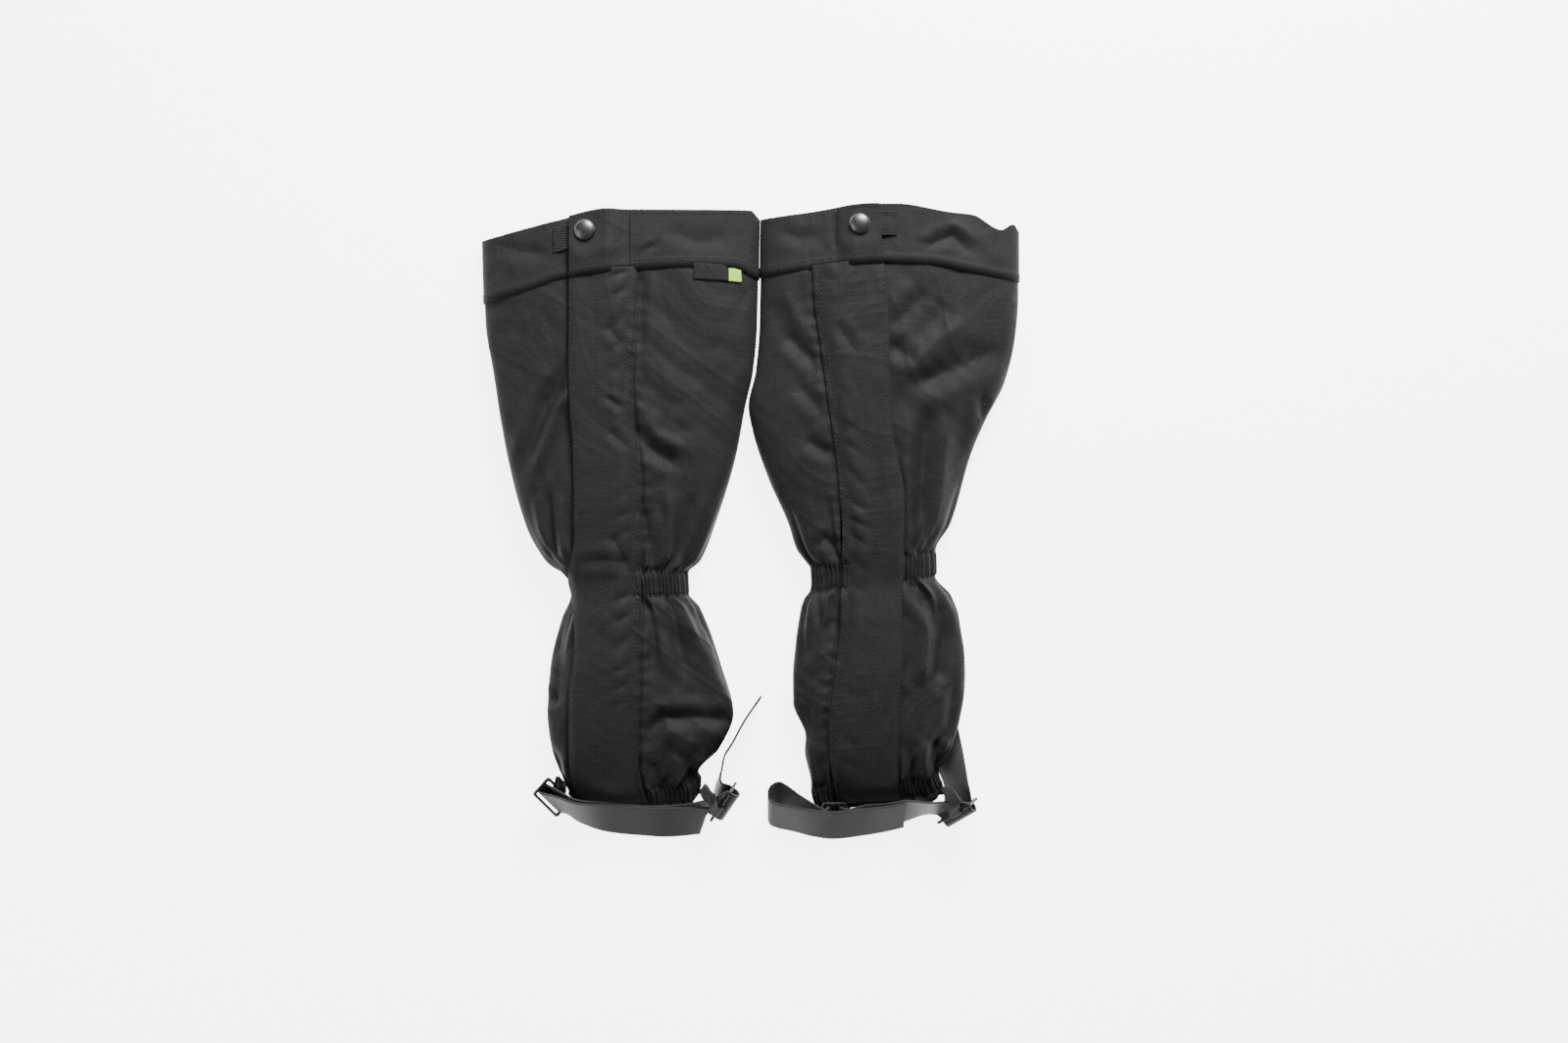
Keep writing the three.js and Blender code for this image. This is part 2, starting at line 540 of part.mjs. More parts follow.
// ---- the instep straps ----
function leftStirrup() {
  const outer = buckleFrame([-140.7, -195.7, 12.8], [-0.503, 0.581, 0.64], [0.669, 0.731, -0.138]);
  const inner = buckleFrame([-19.25, -198.8, 15.8], [0.474, 0.723, 0.503], [-0.276, -0.42, 0.864]);
  placeBuckle('left_buckle_outer', outer);
  placeBuckle('left_buckle_inner', inner);
  anchorWeb('left_web_outer', outer, [-135, -183.6, 8], { width: 10 });
  anchorWeb('left_web_inner', inner, [-33.6, -189.5, 9],
    { over: [[-32.5, -190.5, 20], [-30.5, -193, 29], [-26.5, -196.8, 32.5]], slide: -3, width: 9 });
  const leaning = [0, 0.8, 0.6];
  const steep = [-0.05, 0.6, 0.8];
  const stations = [
    [[-32.6, -212.4, 11.3], [0, 0.78, 0.62]],
    [[-56.7, -213.6, 9.8], [0, 0.856, 0.517]],
    [[-74.2, -213.3, 10.3], [0, 0.824, 0.566]],
    [[-102.2, -210.7, 10.9], leaning],
    [[-121.8, -206.7, 13.2], steep],
    [[-133, -201.4, 16.6], [-0.28, 0.55, 0.78]],
    ...turnRound(outer, -1, outer.face.z > 0 ? -2.9 : 2.9),
    [[-129.5, -199, 14.2], [-0.25, 0.55, 0.79]],
    [[-121.3, -204.6, 11.8], steep],
    [[-102.2, -209.2, 9.0], leaning],
    [[-74.2, -212.0, 8.5], [0, 0.824, 0.566]],
    [[-56.7, -212.0, 7.8], [0, 0.856, 0.517]],
    [[-46, -210.1, 8.9], [0, 0.78, 0.62]],
    [[-36, -206, 10.9], [0, 0.62, 0.78]],
    [[-28, -201.6, 14.6], [0.2, 0.5, 0.84]],
    ...turnRound(inner, 1, inner.face.x > 0 ? 6.5 : -6.5),
    [[-23, -188, 13.6], [0.2, 0.3, 0.93]],
    [[-20.3, -176, 13.4], [0, 0, 1]],
    [[-18.2, -165.9, 13.2], [0, 0, 1]],
    [[-12.6, -156.8, 13.2], [0, 0, 1]],
    [[-4.2, -141.4, 13.2], [0, 0, 1]],
    [[7.7, -123.9, 13.2], [0, 0, 1]],
  ];
  add('left_instep_strap', ribbon(stations, STRAP, STRAP_WALL, 2, 2, -7), strapping);
}

function rightStirrup() {
  const inner = buckleFrame([60, -211.5, 11], [0, 0.813, 0.582], [-1, 0, 0]);
  const outer = buckleFrame([147, -205.1, 15.8], [0.734, 0.474, 0.487], [-0.409, -0.264, 0.874]);
  placeBuckle('right_buckle_inner', inner);
  placeBuckle('right_buckle_outer', outer);
  anchorWeb('right_web_inner', inner, [48, -205.5, 5.6], { width: 9, slide: 2 });
  anchorWeb('right_web_outer', outer, [138.6, -189, 10],
    { over: [[140, -190.5, 20], [142, -193.5, 29.5], [145, -198.5, 33]], slide: 3, width: 9 });
  const weave = (held, face) => [onBuckle(inner, held, face), inner.along.toArray()];
  const stations = [
    [[134, -139, 2.2], [0.995, 0, 0.1]],
    [[137.5, -155, 3.0], [0.985, 0, 0.17]],
    [[142, -172, 7.6], [0.85, 0, 0.53]],
    [[146.4, -187, 11], [0.64, 0.1, 0.76]],
    ...turnRound(outer, -1, 6.5),
    [[136.5, -203.4, 13.2], [0.35, 0.42, 0.84]],
    [[125.3, -203.7, 12.8], [0.1, 0.4, 0.91]],
    [[111.3, -205.3, 11.4], [0, 0.62, 0.78]],
    [[97.3, -209.2, 9.4], [0, 0.756, 0.654]],
    [[82, -210.8, 11.2], [0, 0.8, 0.6]],
    weave(-BAR_PITCH - 4.6, 3.0),
    weave(-BAR_PITCH + 1.2, 2.8),
    weave(-SLOT_PLACE, 0.4),
    weave(-2.0, -1.9),
    weave(0, -2.5),
    weave(2.0, -1.9),
    weave(SLOT_PLACE, 0.6),
    weave(BAR_PITCH - 2.0, 3.0),
    weave(BAR_PITCH + 0.6, 3.9),
    [[43, -208.6, 12.6], [0, 0.79, 0.61]],
    [[34, -202.8, 11.2], [0, 0.78, 0.62]],
    [[26, -196.8, 10], [0, 0.77, 0.64]],
    [[20.5, -194.2, 9.6], [0, 0.77, 0.64]],
    [[15.2, -196.4, 9.4], [0, 0.77, 0.64]],
    [[12.8, -201.4, 9.2], [0, 0.76, 0.65]],
    [[14.4, -206.6, 9.4], [0, 0.74, 0.67]],
    [[20, -209.2, 10], [0, 0.73, 0.68]],
    [[31, -211.4, 12], [0, 0.73, 0.68]],
    [[45, -213.9, 15.4], [0, 0.79, 0.61]],
    [[60, -215.2, 16.9], [0, 0.81, 0.59]],
    [[80, -213.2, 14.6], [0, 0.8, 0.6]],
    [[97.3, -211, 11.8], [0, 0.756, 0.654]],
    [[109.3, -208.2, 13.2], [0, 0.74, 0.67]],
  ];
  add('right_instep_strap', ribbon(stations, STRAP, STRAP_WALL, 2, 3), strapping);
}

// ---- the lace hook under the front of the hem ----
function laceHook(side, x, y, z) {
  const WIRE_R = 1.0;
  const half = 7.5;
  const prong = (sign) => [[sign * 4, 11, 0], [sign * 5.5, 6, 0], [sign * half, 0, 0],
    [sign * half, -4.5, 0], [sign * half, -6, 1.2], [sign * half, -5.4, 2.6], [sign * half, -3, 3]];
  const path = [...prong(-1).reverse(), ...prong(1)].map((p) => new THREE.Vector3(...p));
  const section = new THREE.Shape().absarc(0, 0, WIRE_R, 0, 2 * Math.PI);
  const hook = new THREE.ExtrudeGeometry(section, {
    steps: 13, bevelEnabled: false, curveSegments: 4, extrudePath: new THREE.CatmullRomCurve3(path),
  });
  add(`${side}_lace_hook`, hook.translate(x, y, z), wire);
}

function sideLabel(gaiter) {
  const label = (x0, x1) => sheet((u, t, w) => {
    const x = mix(x0, x1, u);
    const y = mix(171.4, 183.0, t) - (x + 23) * 0.06;
    const v = 2 - (gaiter.seam((x + 190) / 196) - y) / 224;
    const point = tubePoint(gaiter, angleOver(gaiter, x, v), v, 0.5 + w * 0.8);
    point.y = y;
    return point;
  }, 6, 2);
  add('left_side_label', label(-40, -15.6), tape);
  add('left_label_end', label(-15.2, -6.6), lime);
}

for (const [side, gaiter] of Object.entries(gaiters)) {
  clothBody(side, gaiter);
  flap(side, gaiter);
}
sideLabel(gaiters.left);
laceHook('left', -97, -193.5, 8.0);
laceHook('right', 86, -192, 8.6);
leftStirrup();
rightStirrup();

// The frame's middle is the middle of the pair's box.
const box = new THREE.Box3().setFromObject(pair);
const middle = box.getCenter(new THREE.Vector3());
pair.position.set(-middle.x, -middle.y, -box.min.z);

export default pair;
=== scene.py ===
# A pair of ripstop gaiters lying side by side: cloth shells gathered at the ankle and hem, storm flaps,
# snapped cuffs, and instep straps in slide buckles, dressed around the packed frame.
import math

import bmesh
import bpy
import numpy as np
from mathutils import Matrix, Vector


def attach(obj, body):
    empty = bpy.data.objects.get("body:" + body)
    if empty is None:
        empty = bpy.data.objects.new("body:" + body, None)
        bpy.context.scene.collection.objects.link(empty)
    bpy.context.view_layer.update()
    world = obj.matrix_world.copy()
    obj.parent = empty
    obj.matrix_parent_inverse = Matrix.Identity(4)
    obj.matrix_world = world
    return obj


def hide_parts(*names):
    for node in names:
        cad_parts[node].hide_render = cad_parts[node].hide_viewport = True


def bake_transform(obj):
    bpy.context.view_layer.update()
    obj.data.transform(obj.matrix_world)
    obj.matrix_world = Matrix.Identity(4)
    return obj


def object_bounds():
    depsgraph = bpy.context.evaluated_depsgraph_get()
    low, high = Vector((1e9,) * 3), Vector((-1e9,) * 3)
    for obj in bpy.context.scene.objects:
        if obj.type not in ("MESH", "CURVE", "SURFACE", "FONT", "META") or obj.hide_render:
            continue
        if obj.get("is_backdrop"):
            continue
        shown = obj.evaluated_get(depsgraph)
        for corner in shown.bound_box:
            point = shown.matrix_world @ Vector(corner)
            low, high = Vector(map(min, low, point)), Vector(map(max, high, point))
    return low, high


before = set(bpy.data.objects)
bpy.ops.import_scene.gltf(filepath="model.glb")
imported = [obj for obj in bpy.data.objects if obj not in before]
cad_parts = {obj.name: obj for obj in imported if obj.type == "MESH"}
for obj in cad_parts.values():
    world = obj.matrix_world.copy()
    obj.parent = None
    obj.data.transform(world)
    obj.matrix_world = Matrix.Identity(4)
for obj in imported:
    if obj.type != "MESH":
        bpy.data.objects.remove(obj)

bl_info = {
    "name": "Pair of Gaiters",
    "version": (1, 0, 0),
    "blender": (4, 5, 0),
    "location": "View3D > Sidebar > Gaiters",
    "description": "Builds a pair of ripstop gaiters around its packed frame",
    "category": "Add Mesh",
}

CAD_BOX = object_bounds()
MM = 0.001

# ---- the cut of the cloth, in millimetres ----
SHIFT = np.array([-0.1, 0.508, 0.0])   # from the pattern's origin to the frame's
DOME = 2.6                             # superellipse power of the upper half of a section
FLOOR = 5.0                            # and of the flat lower half
SIDE_HEIGHT = 0.42                     # height of the side creases, as a share of the loft
CLOTH = 0.7                            # wall of one layer of cloth
FLAP_REST = 3.7                        # the flap's lift where it lies over both tapes
CUFF_END_REST = 6.0                    # the cuff's overlapping end, over the snap
TAPE_LIFT = 0.75
TAPE_WALL = 0.8
ANKLE_HALF = 8.5                       # half the width of the ankle casing
HEM_CASING = 12.0
RIB = 5.6                              # pitch of the gathers in a casing, round an average section
RIPSTOP_GRID = 4.6                     # pitch of the strong threads in ripstop
BELOW, ABOVE = 155.0, 224.0            # length from hem to ankle, and from ankle to cuff seam
FLAP_WIDTH = 46.0                      # an average width of the flap, to place its rows of stitches

# levels on a gaiter: 0 hem, 1 ankle, 2 cuff seam, 3 top edge
HEM_TOP = 0.077                        # the upper edge of the hem casing
ANKLE_EDGES = (1 - ANKLE_HALF / BELOW, 1 + ANKLE_HALF / ABOVE)
CUFF_ROWS = (2.03, 2.93)               # the two rows of stitches on the cuff
TURN = 2 * math.pi


def curve(*keys):
    """A smooth function through (place, value) keys that never swings past them."""
    places, values = np.array(keys, float).T
    slopes = np.diff(values) / np.diff(places)
    before, after = slopes[:-1], slopes[1:]
    same_way = before * after > 0
    total = np.where(same_way, before + after, 1.0)
    inner = np.where(same_way, 2 * before * after / total, 0.0)
    tangents = np.concatenate([slopes[:1], inner, slopes[-1:]])

    def value(place):
        place = np.clip(place, places[0], places[-1])
        i = np.clip(np.searchsorted(places, place, side="right") - 1, 0, len(places) - 2)
        step = places[i + 1] - places[i]
        t = (place - places[i]) / step
        t2, t3 = t * t, t * t * t
        return ((2 * t3 - 3 * t2 + 1) * values[i] + (t3 - 2 * t2 + t) * step * tangents[i]
                + (3 * t2 - 2 * t3) * values[i + 1] + (t3 - t2) * step * tangents[i + 1])
    return value


def smooth(t):
    """0 up to 0 and 1 from 1 on, with an easy rise between."""
    c = np.clip(t, 0.0, 1.0)
    return c * c * (3 - 2 * c)


def mix(a, b, t):
    """From a, where t is 0, to b, where t is 1."""
    return a + (b - a) * t


LOFT = curve((-201, 14), (-195, 16), (-187, 19.5), (-178, 24), (-165, 28.5), (-145, 32),
             (-110, 34), (-70, 32.5), (-44, 30.5), (-20, 32.5), (20, 34), (100, 34.5), (160, 33.5),
             (222, 29))
UNDERSIDE = curve((-201, 3.4), (-138, 3.4), (-116, 0), (222, 0))

# Each fold is (height, half-width, points along it). A height below zero is a valley.
LEFT = {
    "opens": 1,
    "seed": 11,
    "reach": -0.02,
    "flap_cut": (0.0482, 0.384),
    "left": curve((-191, -129.5), (-184, -132.5), (-161, -141), (-136, -144), (-103, -142),
                  (-69, -133.7), (-53, -127.4), (-42, -128.8), (-27, -145.6), (-2, -159.6),
                  (48, -172.9), (107, -182.7), (140, -188), (198, -190.2)),
    "right": curve((-190, -35.5), (-182, -35), (-177, -37), (-161, -22.4), (-136, -11.9),
                   (-103, -20.3), (-61, -36.4), (-52, -43.4), (-36, -44), (-27, -35.7),
                   (-2, -25.2), (48, -9.8), (82, -3.5), (107, 2), (140, 4.9), (214, 6.2)),
    "hem": curve((0, -191), (0.1, -196), (0.3, -199), (0.6, -201), (0.9, -200), (1, -190)),
    "ankle": curve((0, -44), (1, -43.5)),
    "seam": curve((0, 159.6), (0.15, 168), (0.3, 177.5), (0.55, 183.4), (0.75, 185.5),
                  (0.91, 184.8), (1, 177)),
    "top": curve((0, 198.8), (0.26, 212), (0.46, 220.5), (0.97, 220.5), (1, 214.2)),
    "fold": ((-81.2, -201), (-86.1, 220)),
    "sewn": curve((-202, -72.8), (-190, -75.6), (-167, -79.8), (-115, -79.1), (-1, -77.7),
                  (26, -77.7), (66, -81.9), (94, -84.4), (136, -82.6), (181, -79.8)),
    "free": curve((-201, -122.8), (-169, -127), (-126, -127), (-88, -123.2), (-55, -124.3),
                  (-36, -127.2), (-10, -123.6), (53, -124.6), (93, -127.5), (222, -127.5)),
    "snap": (-116.2, 205.0),
    "tab": -138.6,
    "folds": [
        (-2.2, 5, (-129, 113), (-143, 86), (-153, 58), (-160, 38)),
        (1.6, 6, (-123, 97), (-136, 79), (-147, 52), (-154, 30)),
        (-1.2, 3, (-130, 97), (-142, 83)),
        (-1.4, 3.5, (-76, 181), (-77, 149), (-78, 114)),
        (-1.8, 5, (-83, 72), (-74, 55), (-50, 38)),
        (1.4, 6, (-80, 83), (-66, 62), (-43, 50)),
        (-1.8, 4, (-143, 23), (-141, -5), (-136, -29)),
        (1.2, 4, (-134, 9), (-132, -26)),
        (-1.8, 4, (-74, 9), (-71, -19), (-69, -34)),
        (1.6, 4.5, (-57, 23), (-57, -8), (-59, -34)),
        (-1.4, 4.5, (-39, 23), (-45, -12), (-49, -34)),
        (2.2, 6, (-53, -61), (-38, -82), (-22, -117), (-13, -136)),
        (-1.6, 4, (-69, -54), (-66, -75), (-69, -103)),
        (-1.8, 5, (-60, -55), (-53, -82), (-46, -110)),
        (-2.4, 5, (-71, -148), (-60, -138), (-38, -138), (-13, -141)),
        (1.8, 5, (-78, -166), (-67, -162), (-58, -147), (-46, -155), (-31, -156)),
        (-1.5, 4, (-145, -126), (-136, -125)),
        (-1.2, 5, (-140, -75), (-136, -103), (-139, -138)),
        (-1.6, 4, (-140, -159), (-134, -180), (-130, -195)),
        (1.2, 3, (-132, -166), (-127, -187)),
        (-1.8, 4, (-69, -167), (-63, -187), (-60, -197)),
        (1.6, 4, (-53, -164), (-50, -183)),
        (-1.6, 4, (-42, -166), (-42, -184)),
    ],
    "flap_folds": [
        (-0.8, 3.5, (-102, 139), (-88, 123)),
        (-0.7, 3, (-102, 88), (-88, 79)),
        (-0.8, 3.5, (-101, 65), (-84, 51)),
        (-0.9, 4, (-99, -8), (-91, -22), (-85, -40)),
        (-0.8, 4, (-122, -28), (-102, -27), (-81, -29)),
    ],
    "cuff_folds": [
        (-0.8, 5, (-181, 196), (-160, 190), (-140, 190)),
        (0.7, 6, (-105, 196), (-96, 189)),
        (-0.9, 2.5, (-78, 186), (-74, 191), (-66, 196)),
        (-0.6, 6, (-60, 205), (-35, 198), (-14, 202)),
    ],
}
RIGHT = {
    "opens": -1,
    "seed": 32,
    "reach": -0.036,
    "flap_cut": (0.0472, 0.387),
    "left": curve((-201, 45.5), (-178, 41.3), (-162, 38.5), (-153, 39.2), (-128, 30.3),
                  (-111, 30.1), (-86, 32.2), (-61, 36.4), (-44, 43.4), (-34, 42.7), (-19, 32.9),
                  (-2, 27.3), (31, 12.6), (65, 1.4), (82, -1.4), (107, 3.8), (140, 6.5),
                  (214, 7.7)),
    "right": curve((-187, 137), (-178, 133.7), (-171, 135.8), (-145, 147.7), (-111, 152.6),
                   (-69, 148.4), (-52, 142.8), (-38, 131.5), (-20, 132), (-2, 142.1),
                   (48, 156.8), (74, 168), (99, 180.6), (132, 188.3), (160, 190.4),
                   (205, 190.4)),
    "hem": curve((0, -201), (0.2, -199), (0.35, -196.5), (0.65, -195.5), (0.88, -194.5),
                 (1, -187)),
    "ankle": curve((0, -41), (0.5, -36), (1, -29.5)),
    "seam": curve((0, 178.5), (0.22, 184), (0.48, 188.3), (0.66, 187), (0.8, 182), (1, 175)),
    "top": curve((0, 214.2), (0.2, 219), (0.43, 224.7), (0.53, 224.7), (0.72, 219),
                 (0.82, 217), (0.93, 206.5), (0.98, 210.7), (1, 205.1)),
    "fold": ((67.2, -201), (60.9, 220)),
    "sewn": curve((-202, 63.0), (-191, 60.9), (-166, 56.0), (-146, 56.0), (-122, 58.1),
                  (-78, 63.0), (-34, 65.1), (-8, 65.1), (17, 63.7), (55, 59.5), (85, 55.3),
                  (110, 51.8), (130, 49.0), (155, 45.5), (183, 44.1)),
    "free": curve((-197, 106.4), (-180, 104.8), (-146, 104.3), (-97, 107), (-58, 106.6),
                  (-34, 107.8), (17, 108.5), (61, 100.4), (93, 98), (155, 97.3), (181, 94.5),
                  (222, 91.4)),
    "snap": (77.7, 209.5),
    "tab": 103.6,
    "folds": [
        (-1.4, 6, (98, 136), (111, 148), (125, 163)),
        (-1.4, 5, (97, 128), (106, 120), (118, 113)),
        (2.2, 8, (153, 142), (130, 127), (108, 100)),
        (-2.2, 8, (111, 97), (132, 102), (153, 111), (178, 125)),
        (-1.6, 4, (164, 90), (165, 72)),
        (-1.8, 6, (125, 79), (123, 37), (122, -5)),
        (1.8, 7, (139, 79), (134, 30), (129, -12)),
        (1.2, 5, (111, 65), (111, 23), (112, -15)),
        (-1.6, 5, (24, 132), (36, 121), (48, 108)),
        (-1.4, 5, (34, 97), (43, 86), (52, 76)),
        (-1.4, 5, (38, 58), (49, 52), (59, 48)),
        (1.2, 6, (24, 163), (34, 142), (45, 132)),
        (-1.6, 4, (46, -19), (53, -12), (62, -19)),
        (-1.8, 3.5, (48, -50), (49, -71)),
        (-1.6, 3.5, (57, -50), (60, -75)),
        (-1.6, 4, (111, -41), (116, -51), (125, -59)),
        (-2.6, 7, (132, -54), (137, -82), (133, -117)),
        (1.8, 6, (120, -54), (125, -82), (122, -117)),
        (-1.8, 5, (146, -110), (141, -145), (120, -180)),
        (-1.4, 6, (39, -75), (36, -117), (42, -148)),
        (-1.8, 3.5, (112, -158), (115, -176), (115, -192)),
        (1.6, 3.5, (122, -153), (124, -173), (125, -187)),
        (-1.8, 3.5, (132, -152), (133, -169), (132, -183)),
        (-1.4, 4, (49, -166), (52, -187), (53, -200)),
    ],
    "flap_folds": [
        (-0.9, 4, (61, 141), (67, 130), (74, 120)),
        (-0.8, 4, (60, 67), (71, 62)),
        (-0.9, 4, (67, 9), (74, -19), (71, -47)),
        (-0.8, 5, (88, 50), (92, 10), (88, -40)),
    ],
    "cuff_folds": [
        (-1.4, 4, (123, 190), (132, 198), (143, 202), (153, 192)),
        (-1.2, 3, (62, 219), (61, 204), (61, 190)),
        (0.9, 6, (140, 212), (152, 206), (162, 196)),
        (-0.8, 5, (20, 206), (36, 200), (50, 202)),
    ],
}
GAITERS = {"left": LEFT, "right": RIGHT}


# ---- places on a gaiter ----
def level_y(g, share, level):
    """y at a share of the width and a level."""
    hem, ankle = g["hem"](share), g["ankle"](share)
    seam, top = g["seam"](share), g["top"](share)
    upper = np.where(level <= 2, mix(ankle, seam, level - 1), mix(seam, top, level - 2))
    return np.where(level <= 1, mix(hem, ankle, level), upper)


def creases(g, level):
    """x of the left and right side creases."""
    return g["left"](level_y(g, 0.0, level)), g["right"](level_y(g, 1.0, level))


def section(g, angle, level, lift=0.0):
    """Points of the tube at section angles: 0 the left crease, pi / 2 the top, pi the right crease."""
    angle, level, lift = np.broadcast_arrays(angle, np.asarray(level, float), lift)
    upper = np.sin(angle) >= 0
    power = 2 / np.where(upper, DOME, FLOOR)
    c = -np.cos(angle)
    across = np.sign(c) * np.abs(c) ** power
    rise = np.minimum(1, np.abs(np.sin(angle)) ** power * np.where(upper, 1, 1.03))
    low, high = creases(g, level)
    y = level_y(g, (across + 1) / 2, level)
    bottom, height = UNDERSIDE(y), LOFT(y)
    side = mix(bottom, height, SIDE_HEIGHT)
    x = (low + high) / 2 + across * ((high - low) / 2 + lift)
    over = side + (height - side + lift) * rise
    under = side - (side - bottom + np.minimum(lift, 0)) * rise
    return np.stack([x, y, np.where(upper, over, under)], -1) + SHIFT


def angle_over(g, x, level):
    """The section angle at which the upper half stands over x."""
    low, high = creases(g, level)
    across = np.clip((2 * x - low - high) / (high - low), -1, 1)
    return np.arccos(-np.sign(across) * np.abs(across) ** (DOME / 2))


def crossing(g, x_at, level):
    """x where a line x(y) crosses a level on the upper half."""
    low, high = creases(g, level)
    y = level_y(g, 0.5, level)
    for _ in range(4):
        y = level_y(g, (x_at(y) - low) / (high - low), level)
    return x_at(y)


def fold_x(g, y):
    """x of the straight line about which the flap opens."""
    (x0, y0), (x1, y1) = g["fold"]
    return mix(x0, x1, (y - y0) / (y1 - y0))


def even_turns():
    """Section angles over two turns and how far round each one is on an average section."""
    angle = np.linspace(0, 2 * TURN, 4001)
    upper = np.sin(angle) >= 0
    power = 2 / np.where(upper, DOME, FLOOR)
    c = -np.cos(angle)
    x = 80 * np.sign(c) * np.abs(c) ** power
    z = np.where(upper, 18, -12) * np.abs(np.sin(angle)) ** power
    way = np.concatenate([[0], np.cumsum(np.hypot(np.diff(x), np.diff(z)))])
    return angle, way


TURN_ANGLES, TURN_WAY = even_turns()


# ---- the lie of the cloth ----
def distance_to(points, x, y):
    """Distance to a line of points, and how far along it each nearest place is, from 0 to 1."""
    points = np.array(points, float)
    best = np.full(x.shape, 1e9)
    place = np.zeros(x.shape)
    steps = np.hypot(*np.diff(points, axis=0).T)
    total, gone = steps.sum(), 0.0
    for (ax, ay), (bx, by), step in zip(points[:-1], points[1:], steps):
        t = np.clip(((x - ax) * (bx - ax) + (y - ay) * (by - ay)) / step ** 2, 0, 1)
        d = np.hypot(x - mix(ax, bx, t), y - mix(ay, by, t))
        nearer = d < best
        best = np.where(nearer, d, best)
        place = np.where(nearer, (gone + t * step) / total, place)
        gone += step
    return best, place


def fold_height(folds, x, y):
    """Height of the named folds: each has a crest or valley with a shoulder either side."""
    height = np.zeros(x.shape)
    for tall, wide, *points in folds:
        d, place = distance_to(points, x, y)
        ends = smooth(place / 0.2) * smooth((1 - place) / 0.2)
        fade = np.exp(-(np.abs(d / wide) / 0.9) ** 1.6) * (0.3 + 0.7 * ends)
        shoulder = 0.45 * np.exp(-((d - 1.9 * wide) / wide) ** 2)
        height += 1.35 * tall * (fade - shoulder * ends)
    return height


def ripple(x, y, seed):
    """Slow undulation of cloth that lies loose."""
    rng = np.random.default_rng(seed)
    height = np.zeros(np.shape(x))
    for length in (95, 70, 52, 38, 29, 23):
        heading, phase = rng.uniform(0, TURN, 2)
        along = x * math.cos(heading) * 1.35 + y * math.sin(heading) * 0.8
        height += length / 95 * 0.6 * np.sin(TURN * along / length + phase)
    return height + crumple(x, y, rng)


def crumple(x, y, rng):
    """Short creases that come and go, sharper along their tops than in between."""
    height = np.zeros(np.shape(x))
    for length, tall in ((34, 0.75), (21, 0.5), (13, 0.3)):
        heading, phase, bend, where = rng.uniform(0, TURN, 4)
        bending = x * math.sin(bend) + y * math.cos(bend)
        swerve = 0.3 * length * np.sin(bending / (0.55 * length) + phase)
        along = x * math.cos(heading) + y * math.sin(heading) + swerve
        spread = x * math.cos(where) - y * math.sin(where)
        patch = smooth(0.5 + 0.9 * np.sin(spread / (0.9 * length) + where))
        height += tall * patch * (1 - 2 * np.abs(np.sin(math.pi * along / length + phase))) ** 3
    return height


def gathers(way, d, half, seed, fan=34.0):
    """Ribs of an elastic casing, d from its middle, which fan out into wider folds beyond it."""
    rng = np.random.default_rng(seed)
    drift = sum(rng.uniform(0.5, 1.0) * np.sin(TURN * way / length + rng.uniform(0, 6))
                for length in (31, 19, 47))
    ribs = np.cos(TURN * way / RIB + 1.1 * drift)
    wide = np.cos(TURN * way / (RIB * 2.9) + 1.6 * drift)
    wider = np.cos(TURN * way / (RIB * 5.6) + 0.9 * drift + 1.0)
    inside = smooth((half + 1.5 - np.abs(d)) / 2.5)
    beyond = np.maximum(np.abs(d) - half, 0)
    near = (1 - inside) * np.exp(-beyond / 9)
    far = smooth(beyond / 5) * np.exp(-(beyond / fan) ** 2)
    pinch = -0.9 * np.exp(-((np.abs(d) - half) / 1.3) ** 2)
    return 0.85 * inside * ribs + 1.2 * near * wide + 1.9 * far * wider + pinch


# ---- surfaces: where each piece of cloth lies, in millimetres ----
def out_of(g, angle, level):
    """Points of the tube and the directions that face out of its cloth."""
    e = 2e-3
    points = section(g, angle, level)
    across = section(g, angle + e, level) - section(g, angle - e, level)
    along = section(g, angle, level + e) - section(g, angle, level - e)
    n = np.cross(across, along)
    return points, n / np.maximum(np.linalg.norm(n, axis=-1, keepdims=True), 1e-9)


def flap_share(g, x, y):
    """0 at the flap's sewn edge, 1 at its free edge."""
    sewn = g["sewn"](y)
    return (x - sewn) / (g["free"](y) - sewn)


def near_snap(g, x, y):
    """1 under the snap, 0 well away from it."""
    return 1 - smooth((np.hypot(x - g["snap"][0], y - g["snap"][1]) - 9) / 12)


def relief(g, x, y, level, way):
    """How far folds, gathers and slow waves lift the shell's cloth out of the plain tube."""
    low, high = creases(g, level)
    share = np.clip((x - low) / (high - low), 0, 1)
    ankle = gathers(way, y - g["ankle"](share), ANKLE_HALF, g["seed"])
    above_hem = y - g["hem"](share)
    hem = gathers(way + 40, above_hem - HEM_CASING / 2, HEM_CASING / 2, g["seed"] + 1, 16.0)
    gathered = ankle + hem
    loose = fold_height(g["folds"], x, y) + 0.8 * ripple(x, y, g["seed"])
    t = flap_share(g, x, y)
    cover = smooth(t / 0.2) * smooth((1.08 - t) / 0.14)
    seam = (x - g["sewn"](y)) * g["opens"]
    groove, bank = np.exp(-((seam - 1.6) / 1.5) ** 2), np.exp(-((seam - 5) / 3) ** 2)
    drawn = np.exp(-((seam - 4) / 5) ** 2) * np.cos(TURN * y / 11 + 2 * np.sin(y / 19))
    loose = loose - 1.1 * groove + 0.5 * bank + 0.35 * drawn
    return (gathered + loose * smooth((2.05 - level) / 0.1)) * (1 - 0.8 * cover), gathered


